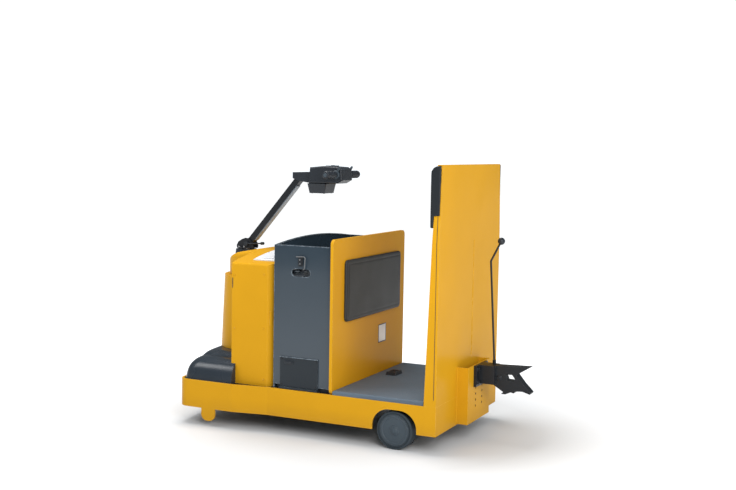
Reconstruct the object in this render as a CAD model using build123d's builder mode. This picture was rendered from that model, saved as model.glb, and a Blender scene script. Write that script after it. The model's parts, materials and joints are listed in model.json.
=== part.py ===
"""Stand-on tow tractor: steered drive wheel under a sheet-metal nose, battery bay, open platform,
tall backrest and a jaw coupler at the back.

Millimetres, +X forward, +Y to the driver's left, +Z up. The origin lies on the floor under the
middle of the whole machine, so x runs as far forward to the nose as back to the coupler's lips.
"""
import os
from math import atan2, cos, degrees, radians, sin, tan

from build123d import *

os.makedirs("parts", exist_ok=True)

# General allowances
cut_over = 5  # how far a cutting tool runs past the face that it cuts
seat_gap = 0.2  # between two pieces that are bolted or clipped together along a curve
run_clear = 0.05  # radial clearance of a shaft in its bearing
move_gap = 5  # between a moving piece and a still one

# Frame skirt
frame_length = 1445
coupler_reach = 330
frame_width = 850
nose_flare = 33  # outward step of each side of the skirt towards the nose
skirt_plate = 10
skirt_bottom_z = 91
skirt_top_z = 231
nose_bow = 32
nose_corner_radius = 62
flare_start = 906  # distances along the machine are measured forward from the rear face
flare_end = 1092
skid_from_rear = 1233
skid_width = 80
skid_bottom_z = 28
skid_corner_radius = 34

rear_x = coupler_reach - (frame_length + coupler_reach) / 2
nose_x = rear_x + frame_length
half_width = frame_width / 2
nose_half = half_width + nose_flare
flare_start_x = rear_x + flare_start
flare_end_x = rear_x + flare_end
nose_corner_x = nose_x - nose_bow

# Load wheels and their axle
wheel_from_rear = 217
wheel_radius = 93
wheel_width = 72
wheel_set_back = 8  # outer face of the wheel behind the skirt's inner face
tread_thickness = 20
tread_edge_radius = 6
wheel_groove_width = 4
wheel_groove_depth = 3
stub_radius = 14
stub_depth = 58  # how far the stub reaches into the hub
stub_end_gap = 1
arch_front_margin = 17  # skirt cut-out beyond the wheel, ahead of it
arch_rear_margin = 28
arch_top_z = 196
arch_corner_radius = 88
axle_beam_size = 50
axle_end_gap = 6
hanger_plate = 10
hanger_length = 120

wheel_x = rear_x + wheel_from_rear
wheel_outer_y = half_width - skirt_plate - wheel_set_back
wheel_inner_y = wheel_outer_y - wheel_width
axle_half = wheel_inner_y - axle_end_gap

# Platform
platform_plate = 8
mat_thickness = 21
mat_edge_radius = 8
mat_inset = 3
pedal_length = 60
pedal_width = 90
pedal_height = 16
pedal_taper_deg = 22
pedal_edge = 5
pedal_behind_panel = 95
pedal_right_of_centre = 102

# Operator panel and knee pad
panel_from_rear = 544
panel_thickness = 15
panel_top_z = 984
panel_corner_radius = 26
pad_left = 305
pad_right = 350
pad_bottom_z = 571
pad_top_z = 877
pad_thickness = 14
pad_corner_radius = 22
pad_edge_radius = 5

panel_x = rear_x + panel_from_rear
panel_front_x = panel_x + panel_thickness

# Battery bay
box_length = 322
box_side_inset = 20  # from the skirt's outer face to the box's side
box_wall = 6
box_lip = 12
box_lip_thickness = 4
box_foot_gap_bottom_z = 225
box_foot_gap_top_z = 251
box_side_top_z = 944
box_crown = 27
tray_z = 100
tray_plate = 8
battery_gap = 8
battery_top_z = 790
slot_length = 104
slot_height = 38
slot_z = 812
slot_from_box_rear = 172
gate_length = 212
gate_bottom_z = 233
gate_top_z = 392
gate_thickness = 5
gate_from_box_rear = 70
gate_lip = 10
gate_lip_height = 9
latch_width = 24
latch_height = 50
latch_corner_radius = 6
latch_thickness = 7
latch_gap_above_slot = 14

box_x = panel_front_x
box_front_x = box_x + box_length
box_half = half_width - box_side_inset
box_width = 2 * box_half
slot_x = box_x + slot_from_box_rear

# Drive housing
housing_gap = 17  # between the battery box and the housing
housing_front_from_rear = 1130
housing_side_inset = 25
housing_chamfer = 23
housing_wall = 4
housing_side_top_z = 840
housing_crown = 49
housing_roof_radius = 14
hood_edge_radius = 25
chamfer_half_deg = 22.5  # half the turn between the housing's side and its chamfer
hood_center_from_rear = 1160
hood_radius = 199
hood_bottom_z = 745
hood_slope_start = 1139
hood_slope_mid = 1245
hood_slope_mid_drop = 21
hood_slope_end = 1375
hood_slope_end_drop = 66
housing_window_half = 185
housing_window_bottom_z = 262
deck_plate = 8
deck_drop = 4  # deck top below the skirt's top edge
display_rear = 12
display_length = 128
display_right_y = 60
display_left_y = 345
display_thickness = 5

housing_x = box_front_x + housing_gap
housing_front_x = rear_x + housing_front_from_rear
housing_half = half_width - housing_side_inset
housing_width = 2 * housing_half
hood_x = rear_x + hood_center_from_rear
housing_crown_z = housing_side_top_z + housing_crown
deck_top_z = skirt_top_z - deck_drop

# Front cover, a tapered half shell round the steering column
cover_top_radius = 225
cover_draft_share = 0.0435  # growth in radius for each unit of height downward
cover_wall = 4

# Moulded motor cover over the nose
moulding_wall = 4
moulding_height = 136
moulding_edge_inset = 14
moulding_rise = 85
moulding_corner_radius = 60
lobe_height = 114  # of the side lobes beside the middle hump
lobe_wrap = 24  # how far the lobes reach back along the housing's sides
hump_side_inset = 78
hump_front_inset = 5
# columns: height above the deck as a share of the height, inset as a share of the rise
moulding_shares = ((0.0, 0.0), (0.3, 0.07), (0.6, 0.2), (0.82, 0.42), (0.95, 0.7), (1.0, 1.0))

# Steering head and drive unit
steer_from_rear = 1292
turntable_radius = 88
turntable_height = 22
steer_ring_radius = 106
deck_hole_clear = 6
motor_radius = 70
motor_height = 220
shaft_radius = 20
collar_radius = 56
collar_draft_deg = 7
collar_top_z = 872
collar_foot_z = 800  # inside the hood, whose slope cuts the collar's foot
drive_radius = 110
drive_width = 76
drive_tread = 22
drive_axle_radius = 16
drive_axle_depth = 62
gearbox_gap = 8
gearbox_width = 48
gearbox_lower_radius = 56
gearbox_upper_width = 80
gearbox_neck_width = 28

steer_x = rear_x + steer_from_rear

# Tiller
tiller_pivot_z = 902
pivot_behind_steer = 21
tiller_base_radius = 46
tiller_base_plate = 6
ear_thickness = 8
# columns: ahead of the steering axis, height above the base plate's underside
ear_outline = (
    (42, 0), (44, 15), (34, 34), (12, 48), (-8, 56), (-32, 53), (-52, 30), (-58, 10), (-54, 0),
)
ear_web_start = 14  # ahead of the steering axis
ear_web_height = 40
arm_width = 42
arm_depth = 32
arm_wall = 3
arm_length = 480
arm_lean_deg = 40.5
pin_radius = 8
arm_strip_thickness = 5
arm_strip_margin = 45
arm_start = 7  # where the tube starts, measured from the pivot along the arm
lever_radius = 4
lever_knob_radius = 8
lever_knob_length = 20
lever_knob_round = 6
lever_boss_radius = 12
lever_boss_height = 14
lever_length = 112
lever_rise_deg = 4
head_length = 306
head_height = 92
head_half = 62
head_neck_half = 31
head_above_arm = 63
head_overhang = 34
head_edge_radius = 9
# columns: share of the head's length back from its front, share of its height down from the top
head_shares = (
    (0.38, 0.09), (0.64, 0.0), (0.93, 0.05), (0.985, 0.18), (1.0, 0.78), (0.9, 0.97), (0.36, 1.0),
)
neck_shares = ((0.0, 0.4), (0.31, 0.36), (0.5, 0.3), (0.5, 0.9), (0.33, 0.98), (0.1, 0.87), (0.0, 0.74))
crossbar_radius = 14
crossbar_half = 186
crossbar_from_front = 273
crossbar_drop = 44
grip_radius = 19
grip_length = 92
grip_end_radius = 8
pod_length = 110
pod_width = 124
pod_depth = 50
pod_taper_share = 0.1
pod_from_front = 102
pod_edge_radius = 8

# Backrest
backrest_top_z = 1354
backrest_top_inset = 20
backrest_taper_drop = 354  # below the top, where the sides begin to lean inward
backrest_depth_bottom = 62
backrest_depth_top = 24
backrest_wall = 4
groove_width = 18
groove_depth = 2
groove_bottom_z = 402
groove_top_drop = 371
groove_right_of_centre = 32
backpad_top_drop = 4  # all drops are measured from the backrest's top
pad_wrap_drop = 234
pad_lip_drop = 292
backpad_top_radius = 38
backpad_front_depth = 50
backpad_rear_margin = 2

# Coupler mount and coupler
mount_depth = 58
mount_width = 310
mount_bottom_z = 97
mount_top_z = 376
mount_wall = 8
bolt_spacing_y = 90
bolt_spacing_z = 30
bolt_rows = 7
bolt_lowest_z = 172
bolt_hole_radius = 6.5
coupler_plate = 14
coupler_plate_half = 82
coupler_plate_bottom_z = 272
coupler_plate_top_z = 376
coupler_arm_half = 42
coupler_arm_length = 78
coupler_arm_height = 92
coupler_arm_z = 376
jaw_half = 26
jaw_height = 136
# columns: share of the jaw's reach behind the plate, share of its height below the arm's top
jaw_shares = (
    (0.0, 0.0), (0.245, 0.0), (0.978, -0.05), (0.713, 0.265), (0.847, 0.574), (1.0, 0.86), (0.985, 0.92),
    (0.84, 0.84), (0.695, 0.86), (0.673, 0.934), (0.608, 0.912), (0.51, 1.0), (0.423, 1.0), (0.463, 0.926),
    (0.252, 0.684), (0.0, 0.684),
)
window_shares = ((0.477, 0.294), (0.63, 0.272), (0.688, 0.412), (0.666, 0.507), (0.521, 0.493))
rod_radius = 5
rod_y = -36
rod_bend_radius = 20
rod_socket_radius = 9
rod_socket_height = 16
rod_foot_back = 50  # behind the coupler plate's rear face
rod_bend_back = 19
rod_bend_z = 882
rod_top_back = 70
rod_top_z = 982
knob_radius = 18

backrest_top_half = half_width - backrest_top_inset
backrest_taper_z = backrest_top_z - backrest_taper_drop
groove_top_z = backrest_top_z - groove_top_drop
backpad_top_z = backrest_top_z - backpad_top_drop
pad_wrap_bottom_z = backrest_top_z - pad_wrap_drop
pad_lip_bottom_z = backrest_top_z - pad_lip_drop
mount_rear_x = rear_x - mount_depth
plate_rear_x = mount_rear_x - coupler_plate
coupler_tip_x = rear_x - coupler_reach


def save(piece, name):
    """Label a finished piece and write its file."""
    piece.part.label = name
    export_step(piece.part, f"parts/{name}.step")


def frame_plan(inset, start_x, corner):
    """Plan of the frame from start_x to the nose, set in from the outside by inset."""
    front_x = nose_corner_x - inset
    side = nose_half - inset
    rear_side = half_width - inset
    with BuildSketch() as plan:
        with BuildLine():
            Polyline(
                (front_x, side),
                (flare_end_x, side),
                (flare_start_x, rear_side),
                (start_x, rear_side),
                (start_x, -rear_side),
                (flare_start_x, -rear_side),
                (flare_end_x, -side),
                (front_x, -side),
            )
            ThreePointArc((front_x, -side), (nose_x - inset, 0), (front_x, side))
        make_face()
        fillet(plan.vertices().sort_by(Axis.X)[-2:], radius=corner)
    return plan.sketch


def nose_plan(inset, side_inset, start_x, corner):
    """Plan of the nose alone, from start_x forward, set in by inset and at the sides by side_inset more."""
    front_x = nose_corner_x - inset
    side = nose_half - inset - side_inset
    with BuildSketch() as plan:
        with BuildLine():
            Polyline((front_x, side), (start_x, side), (start_x, -side), (front_x, -side))
            ThreePointArc((front_x, -side), (nose_x - inset, 0), (front_x, side))
        make_face()
        fillet(plan.vertices().sort_by(Axis.X)[-2:], radius=corner)
    return plan.sketch


# Frame skirt: one plate bent round the machine, with wheel arches and two skid lugs
with BuildPart() as frame_skirt:
    with BuildSketch(Plane.XY.offset(skirt_bottom_z)):
        add(frame_plan(0, rear_x, nose_corner_radius))
        add(
            frame_plan(skirt_plate, rear_x + skirt_plate, nose_corner_radius - skirt_plate),
            mode=Mode.SUBTRACT,
        )
    extrude(amount=skirt_top_z - skirt_bottom_z)
    arch_length = 2 * wheel_radius + arch_front_margin + arch_rear_margin
    arch_mid_x = wheel_x + (arch_front_margin - arch_rear_margin) / 2
    with BuildSketch(Plane.XZ) as arch:
        with Locations((arch_mid_x, arch_top_z)):
            Rectangle(arch_length, 2 * arch_top_z, align=(Align.CENTER, Align.MAX))
        fillet(arch.vertices().group_by(Axis.Z)[-1], radius=arch_corner_radius)
    extrude(amount=half_width + cut_over, both=True, mode=Mode.SUBTRACT)
    for side in (1, -1):
        with BuildSketch(Plane.XZ.offset(-side * nose_half)) as skid:
            with Locations((rear_x + skid_from_rear, skid_bottom_z)):
                Rectangle(skid_width, skirt_top_z - skid_bottom_z, align=(Align.CENTER, Align.MIN))
            fillet(skid.vertices().group_by(Axis.Z)[0], radius=skid_corner_radius)
        extrude(amount=side * skirt_plate)
save(frame_skirt, "frame_skirt")

# Platform plate between the skirt's sides, from the backrest to the operator panel
tray_inner_width = frame_width - 2 * skirt_plate
with BuildPart() as platform:
    with BuildSketch(Plane.XY.offset(skirt_top_z - platform_plate)):
        with Locations((rear_x + skirt_plate, 0)):
            Rectangle(
                box_x - rear_x - skirt_plate, tray_inner_width, align=(Align.MIN, Align.CENTER)
            )
    extrude(amount=platform_plate)
save(platform, "platform_plate")

# Rubber floor mat on the platform plate
mat_rear_x = rear_x + backrest_depth_bottom + mat_inset
with BuildPart() as mat:
    with BuildSketch(Plane.XY.offset(skirt_top_z)):
        with Locations((mat_rear_x, 0)):
            Rectangle(
                panel_x - mat_inset - mat_rear_x, frame_width - 2 * mat_inset, align=(Align.MIN, Align.CENTER)
            )
    extrude(amount=mat_thickness)
    fillet(mat.edges().group_by(Axis.Z)[-1], radius=mat_edge_radius)
save(mat, "platform_mat")

# Foot switch on the mat
mat_top_z = skirt_top_z + mat_thickness
with BuildPart() as pedal:
    with BuildSketch(Plane.XY.offset(mat_top_z)):
        with Locations((panel_x - pedal_behind_panel, -pedal_right_of_centre)):
            RectangleRounded(pedal_length, pedal_width, pedal_edge)
    extrude(amount=pedal_height, taper=pedal_taper_deg)
save(pedal, "foot_pedal")

# Battery tray: floor with a wall at each end, welded between the skirt's sides
with BuildPart() as tray:
    with BuildSketch(Plane.XZ):
        with BuildLine():
            Polyline(
                (box_x - tray_plate, skirt_top_z - platform_plate),
                (box_x - tray_plate, tray_z),
                (box_front_x + tray_plate, tray_z),
                (box_front_x + tray_plate, deck_top_z - deck_plate),
                (box_front_x, deck_top_z - deck_plate),
                (box_front_x, tray_z + tray_plate),
                (box_x, tray_z + tray_plate),
                (box_x, skirt_top_z - platform_plate),
                close=True,
            )
        make_face()
    extrude(amount=tray_inner_width / 2, both=True)
save(tray, "battery_tray")

# Deck under the nose, with a round opening for the drive unit
with BuildPart() as deck:
    with BuildSketch(Plane.XY.offset(deck_top_z - deck_plate)):
        add(frame_plan(skirt_plate, box_front_x, nose_corner_radius - skirt_plate))
        with Locations((steer_x, 0)):
            Circle(turntable_radius + deck_hole_clear, mode=Mode.SUBTRACT)
    extrude(amount=deck_plate)
save(deck, "drive_deck")

def box_form(drop, inset):
    """Closed block of the battery box, its arched top lowered by drop and its walls set in by inset."""
    side_z = box_side_top_z - drop
    with BuildPart() as form:
        with BuildSketch(Plane.XY.offset(tray_z + tray_plate)):
            with Locations((box_x + box_length / 2, 0)):
                Rectangle(box_length - 2 * inset, box_width - 2 * inset)
        extrude(amount=box_side_top_z + box_crown - tray_z - tray_plate)
        with BuildSketch(Plane.YZ.offset(box_x)):
            with BuildLine():
                ThreePointArc((-box_half, side_z), (0, side_z + box_crown), (box_half, side_z))
                Polyline((box_half, side_z), (box_half, tray_z), (-box_half, tray_z), (-box_half, side_z))
            make_face()
        extrude(amount=box_length, mode=Mode.INTERSECT)
    return form.part


# Battery box: four walls, open above with a folded lip, the end walls arched between the sides
with BuildPart() as battery_box:
    add(box_form(0, 0))
    add(box_form(box_lip_thickness, box_wall), mode=Mode.SUBTRACT)
    with BuildSketch(Plane.XY.offset(battery_top_z)):
        with Locations((box_x + box_length / 2, 0)):
            Rectangle(box_length - 2 * box_lip, box_width - 2 * box_lip)
    extrude(amount=box_side_top_z + box_crown - battery_top_z, mode=Mode.SUBTRACT)
    with BuildSketch(Plane.XZ):
        with Locations((slot_x, slot_z)):
            SlotOverall(slot_length, slot_height)
        with Locations((box_x + box_length / 2, (box_foot_gap_bottom_z + box_foot_gap_top_z) / 2)):
            Rectangle(box_length - 2 * box_wall, box_foot_gap_top_z - box_foot_gap_bottom_z)
    extrude(amount=box_half + cut_over, both=True, mode=Mode.SUBTRACT)
save(battery_box, "battery_box")

# Battery, one plain block standing on the tray
with BuildPart() as battery:
    with BuildSketch(Plane.XY.offset(tray_z + tray_plate)):
        with Locations((box_x + box_length / 2, 0)):
            Rectangle(
                box_length - 2 * (box_wall + battery_gap), box_width - 2 * (box_wall + battery_gap)
            )
    extrude(amount=battery_top_z - tray_z - tray_plate)
save(battery, "battery")

# Battery gates and latches, one of each on either side of the box
gate_mid_x = box_x + gate_from_box_rear + gate_length / 2
for side, hand in ((1, "left"), (-1, "right")):
    with BuildPart() as gate:
        with BuildSketch(Plane.XZ.offset(-side * box_half)):
            with Locations((gate_mid_x, (gate_bottom_z + gate_top_z) / 2)):
                Rectangle(gate_length, gate_top_z - gate_bottom_z)
        extrude(amount=-side * gate_thickness)
        with BuildSketch(Plane.XZ.offset(-side * (box_half + gate_thickness))):
            with Locations((gate_mid_x, gate_bottom_z + gate_lip_height / 2)):
                Rectangle(gate_length, gate_lip_height)
        extrude(amount=-side * gate_lip)
    save(gate, f"battery_gate_{hand}")

    with BuildPart() as latch:
        with BuildSketch(Plane.XZ.offset(-side * box_half)):
            with Locations((slot_x, slot_z + slot_height / 2 + latch_gap_above_slot + latch_height / 2)):
                RectangleRounded(latch_width, latch_height, latch_corner_radius)
        extrude(amount=-side * latch_thickness)
    save(latch, f"battery_latch_{hand}")

# Operator panel, a plate across the machine between battery and platform
with BuildPart() as panel:
    with BuildSketch(Plane.YZ.offset(panel_x)) as panel_face:
        with Locations((0, skirt_top_z)):
            Rectangle(frame_width, panel_top_z - skirt_top_z, align=(Align.CENTER, Align.MIN))
        fillet(panel_face.vertices().group_by(Axis.Z)[-1], radius=panel_corner_radius)
    extrude(amount=panel_thickness)
save(panel, "operator_panel")

# Knee pad on the operator's side of the panel
with BuildPart() as knee_pad:
    with BuildSketch(Plane.YZ.offset(panel_x)):
        with Locations(((pad_left - pad_right) / 2, (pad_bottom_z + pad_top_z) / 2)):
            RectangleRounded(pad_left + pad_right, pad_top_z - pad_bottom_z, pad_corner_radius)
    extrude(amount=-pad_thickness)
    fillet(knee_pad.faces().sort_by(Axis.X)[0].edges(), radius=pad_edge_radius)
save(knee_pad, "knee_pad")


def roof_form(inset):
    """Block across the machine under the housing's arched roof, lowered by inset, as far as the nose."""
    side_z = housing_side_top_z - inset
    with BuildPart() as form:
        with BuildSketch(Plane.YZ.offset(housing_x)):
            with BuildLine():
                ThreePointArc((-housing_half, side_z), (0, side_z + housing_crown), (housing_half, side_z))
                Polyline(
                    (housing_half, side_z),
                    (housing_half, deck_top_z),
                    (-housing_half, deck_top_z),
                    (-housing_half, side_z),
                )
            make_face()
        extrude(amount=nose_x - housing_x)
    return form.part


def hood_form(inset):
    """Round hood with a roof that slopes down in two steps towards the nose, set in by inset."""
    top_z = housing_crown_z - inset
    with BuildPart() as form:
        with BuildSketch(Plane.XY.offset(hood_bottom_z)):
            with Locations((hood_x, 0)):
                Circle(hood_radius - inset)
        extrude(amount=housing_crown_z - hood_bottom_z)
        with BuildSketch(Plane.XZ):
            with BuildLine():
                Polyline(
                    (hood_x - hood_radius, hood_bottom_z),
                    (hood_x - hood_radius, top_z),
                    (rear_x + hood_slope_start, top_z),
                    (rear_x + hood_slope_mid, top_z - hood_slope_mid_drop),
                    (rear_x + hood_slope_end, top_z - hood_slope_end_drop),
                    (rear_x + hood_slope_end, hood_bottom_z),
                    close=True,
                )
            make_face()
        extrude(amount=hood_radius, both=True, mode=Mode.INTERSECT)
        rim = form.edges().filter_by(GeomType.LINE, reverse=True)
        fillet(rim.filter_by(lambda edge: edge.center().Z > hood_bottom_z), radius=hood_edge_radius)
        add(roof_form(inset), mode=Mode.INTERSECT)
    return form.part


def housing_form(inset):
    """Closed outer form of the housing and its hood, set in by inset on every side but the bottom."""
    chamfer = housing_chamfer + inset * tan(radians(chamfer_half_deg))
    with BuildPart() as form:
        with BuildSketch(Plane.XY.offset(deck_top_z)):
            with BuildLine():
                Polyline(
                    (housing_x + inset, housing_half - chamfer),
                    (housing_x + chamfer, housing_half - inset),
                    (housing_front_x - inset, housing_half - inset),
                    (housing_front_x - inset, -housing_half + inset),
                    (housing_x + chamfer, -housing_half + inset),
                    (housing_x + inset, -housing_half + chamfer),
                    close=True,
                )
            make_face()
        extrude(amount=housing_crown_z - deck_top_z)
        add(roof_form(inset), mode=Mode.INTERSECT)
        roof_edges = form.edges().filter_by(Axis.X).group_by(Axis.Z)[-1]
        fillet(roof_edges, radius=housing_roof_radius - inset)
        add(hood_form(inset))
    return form.part


# Drive housing: sheet-metal box with an arched roof that runs forward as a round hood
with BuildPart() as housing:
    add(housing_form(0))
    add(housing_form(housing_wall), mode=Mode.SUBTRACT)
    with BuildSketch(Plane.YZ.offset(housing_front_x - housing_wall - cut_over)):
        with Locations((0, housing_window_bottom_z)):
            Rectangle(
                2 * housing_window_half,
                hood_bottom_z - housing_window_bottom_z,
                align=(Align.CENTER, Align.MIN),
            )
    extrude(amount=housing_wall + 2 * cut_over, mode=Mode.SUBTRACT)
    with BuildSketch(Plane.XY.offset(hood_bottom_z - cut_over)):
        with Locations((hood_x, 0)):
            Circle(hood_radius - housing_wall)
        with Locations((housing_front_x, 0)):
            Rectangle(
                nose_x, housing_width, align=(Align.MAX, Align.CENTER), mode=Mode.SUBTRACT
            )
    extrude(amount=2 * cut_over, mode=Mode.SUBTRACT)
    with BuildSketch(Plane.XY.offset(hood_bottom_z)):
        with Locations((steer_x, 0)):
            Circle(shaft_radius + move_gap)
    extrude(amount=housing_crown_z, mode=Mode.SUBTRACT)
save(housing, "drive_housing")


def cover_form(shrink):
    """Tapered drum round the steering column, from the deck to the underside of the hood."""
    height = hood_bottom_z - deck_top_z
    with BuildPart() as form:
        with BuildSketch(Plane.XZ):
            with BuildLine():
                Polyline(
                    (0, deck_top_z),
                    (cover_top_radius + height * cover_draft_share - shrink, deck_top_z),
                    (cover_top_radius - shrink, hood_bottom_z - max(shrink, 0)),
                    (0, hood_bottom_z - max(shrink, 0)),
                    close=True,
                )
            make_face()
        revolve(axis=Axis.Z)
    return form.part.moved(Location((hood_x, 0, 0)))


# Front cover: tapered half shell bolted to the housing's front, with a lip under the hood
with BuildPart() as front_cover:
    add(cover_form(0))
    add(cover_form(cover_wall), mode=Mode.SUBTRACT)
    with BuildSketch(Plane.XY.offset(hood_bottom_z - cover_wall - cut_over)):
        with Locations((hood_x, 0)):
            Circle(hood_radius - housing_wall)
    extrude(amount=cover_wall + 2 * cut_over, mode=Mode.SUBTRACT)
    with BuildSketch(Plane.XY):
        with Locations((housing_front_x, 0)):
            Rectangle(nose_x, frame_width, align=(Align.MAX, Align.CENTER))
    extrude(amount=housing_crown_z, mode=Mode.SUBTRACT)
save(front_cover, "front_cover")


def moulding_form(shrink, top, front_inset, side_inset):
    """Rounded solid over the nose, lofted through plans that step inward as they rise."""
    edge_inset = moulding_edge_inset + front_inset + shrink
    start_x = housing_front_x - lobe_wrap + shrink
    with BuildPart() as form:
        for height_share, inset_share in moulding_shares:
            inset = edge_inset + inset_share * moulding_rise
            with BuildSketch(Plane.XY.offset(deck_top_z + height_share * (top - shrink))):
                add(nose_plan(inset, side_inset, start_x, moulding_corner_radius))
        loft()
    return form.part


# Moulded motor cover over the nose: a hump between two lower lobes, open round the front cover
with BuildPart() as motor_cover:
    for shrink, mode in ((0, Mode.ADD), (moulding_wall, Mode.SUBTRACT)):
        add(moulding_form(shrink, lobe_height, 0, 0), mode=mode)
        add(moulding_form(shrink, moulding_height, hump_front_inset, hump_side_inset), mode=mode)
    add(cover_form(-seat_gap), mode=Mode.SUBTRACT)
    with BuildSketch(Plane.XY.offset(deck_top_z)):
        with Locations((housing_front_x, 0)):
            Rectangle(2 * lobe_wrap, housing_width, align=(Align.MAX, Align.CENTER))
    extrude(amount=moulding_height, mode=Mode.SUBTRACT)
save(motor_cover, "motor_cover")

# Display panel on the left of the housing's roof, curved with it
with BuildPart() as display:
    with BuildSketch(Plane.XY.offset(housing_side_top_z - cut_over)):
        with Locations((housing_x + display_rear, display_right_y)):
            Rectangle(display_length, display_left_y - display_right_y, align=(Align.MIN, Align.MIN))
    extrude(amount=housing_crown + display_thickness + cut_over)
    with BuildSketch(Plane.YZ.offset(housing_x)):
        with BuildLine():
            arch_curve = ThreePointArc(
                (-housing_half, housing_side_top_z), (0, housing_crown_z), (housing_half, housing_side_top_z)
            )
            top_curve = ThreePointArc(
                (-housing_half, housing_side_top_z + display_thickness),
                (0, housing_crown_z + display_thickness),
                (housing_half, housing_side_top_z + display_thickness),
            )
            Line(arch_curve @ 0, top_curve @ 0)
            Line(arch_curve @ 1, top_curve @ 1)
        make_face()
    extrude(amount=nose_x - housing_x, mode=Mode.INTERSECT)
save(display, "display_panel")

# Collar round the steering shaft, standing on the hood's slope
with BuildPart() as collar:
    with BuildSketch(Plane.XY.offset(collar_top_z)):
        with Locations((steer_x, 0)):
            Circle(collar_radius)
    extrude(amount=collar_foot_z - collar_top_z, taper=-collar_draft_deg)
    with BuildSketch(Plane.XY.offset(hood_bottom_z)):
        with Locations((steer_x, 0)):
            Circle(shaft_radius + move_gap)
    extrude(amount=housing_crown_z, mode=Mode.SUBTRACT)
    add(housing_form(0), mode=Mode.SUBTRACT)
save(collar, "steering_collar")

# Steering ring on the deck, in which the turntable runs
with BuildPart() as steer_ring:
    with BuildSketch(Plane.XY.offset(deck_top_z)):
        with Locations((steer_x, 0)):
            Circle(steer_ring_radius)
            Circle(turntable_radius + run_clear, mode=Mode.SUBTRACT)
    extrude(amount=turntable_height)
save(steer_ring, "steering_ring")

# Turntable that carries the gearbox below and the motor above
with BuildPart() as turntable:
    with BuildSketch(Plane.XY.offset(deck_top_z)):
        with Locations((steer_x, 0)):
            Circle(turntable_radius)
    extrude(amount=turntable_height)
save(turntable, "turntable")

# Drive gearbox beside the wheel, with the wheel's axle
gearbox_inner_y = -(drive_width / 2 + gearbox_gap)
with BuildPart() as gearbox:
    with BuildSketch(Plane.XZ.offset(-gearbox_inner_y)):
        with Locations((steer_x, drive_radius)):
            Circle(gearbox_lower_radius)
            Rectangle(
                gearbox_upper_width,
                deck_top_z - deck_plate - move_gap - drive_radius,
                align=(Align.CENTER, Align.MIN),
            )
    extrude(amount=gearbox_width)
    with BuildSketch(Plane.XZ.offset(-gearbox_inner_y)):
        with Locations((steer_x, drive_radius)):
            Rectangle(gearbox_upper_width, deck_top_z - drive_radius, align=(Align.CENTER, Align.MIN))
    extrude(amount=gearbox_neck_width)
    with BuildSketch(Plane.XZ.offset(-gearbox_inner_y)):
        with Locations((steer_x, drive_radius)):
            Circle(drive_axle_radius)
    extrude(amount=-(drive_axle_depth + gearbox_gap))
save(gearbox, "drive_gearbox")

# Drive motor, one plain drum on the turntable, and the steering shaft above it
motor_base_z = deck_top_z + turntable_height
with BuildPart() as motor:
    with BuildSketch(Plane.XY.offset(motor_base_z)):
        with Locations((steer_x, 0)):
            Circle(motor_radius)
    extrude(amount=motor_height)
save(motor, "drive_motor")

base_z = collar_top_z + move_gap
with BuildPart() as shaft:
    with BuildSketch(Plane.XY.offset(motor_base_z + motor_height)):
        with Locations((steer_x, 0)):
            Circle(shaft_radius)
    extrude(amount=base_z - motor_base_z - motor_height)
save(shaft, "steering_shaft")

# Tiller base: plate on the shaft with two cheeks that carry the pivot pin, joined by a web ahead of the arm
ear_inner_y = arm_width / 2 + run_clear
pivot_x = steer_x - pivot_behind_steer
with BuildPart() as tiller_base:
    with BuildSketch(Plane.XY.offset(base_z)):
        with Locations((steer_x, 0)):
            Circle(tiller_base_radius)
    extrude(amount=tiller_base_plate)
    for side in (1, -1):
        with BuildSketch(Plane.XZ.offset(-side * ear_inner_y)):
            with BuildLine():
                Polyline(*[(steer_x + ahead, base_z + height) for ahead, height in ear_outline], close=True)
            make_face()
            with Locations((pivot_x, tiller_pivot_z)):
                Circle(pin_radius, mode=Mode.SUBTRACT)
        extrude(amount=-side * ear_thickness)
    with BuildSketch(Plane.XZ) as web:
        with BuildLine():
            Polyline(*[(steer_x + ahead, base_z + height) for ahead, height in ear_outline], close=True)
        make_face()
        with Locations((steer_x + ear_web_start, base_z)):
            Rectangle(
                nose_x, ear_web_height, align=(Align.MIN, Align.MIN), mode=Mode.INTERSECT
            )
    extrude(amount=ear_inner_y, both=True)
save(tiller_base, "tiller_base")

with BuildPart() as pivot_pin:
    with BuildSketch(Plane.XZ.offset(-(ear_inner_y + ear_thickness))):
        with Locations((pivot_x, tiller_pivot_z)):
            Circle(pin_radius)
    extrude(amount=2 * (ear_inner_y + ear_thickness))
save(pivot_pin, "tiller_pivot_pin")

# Clamp lever beside the tiller's pivot
lever_base_y = ear_inner_y + ear_thickness
lever_y = lever_base_y + lever_boss_height / 2
lever_rise = radians(lever_rise_deg)
lever_plane = Plane(origin=(pivot_x, lever_y, tiller_pivot_z), z_dir=(-cos(lever_rise), 0, sin(lever_rise)))
with BuildPart() as lever:
    with BuildSketch(lever_plane):
        Circle(lever_radius)
    extrude(amount=lever_length)
    with BuildSketch(Plane.XZ.offset(-lever_base_y - lever_boss_height)):
        with Locations((pivot_x, tiller_pivot_z)):
            Circle(lever_boss_radius)
    extrude(amount=lever_boss_height)
    with BuildSketch(lever_plane.offset(lever_length - lever_knob_length)):
        Circle(lever_knob_radius)
    extrude(amount=lever_knob_length)
    fillet(lever.faces().sort_by(Axis.X)[0].edges(), radius=lever_knob_round)
save(lever, "tilt_clamp_lever")

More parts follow.
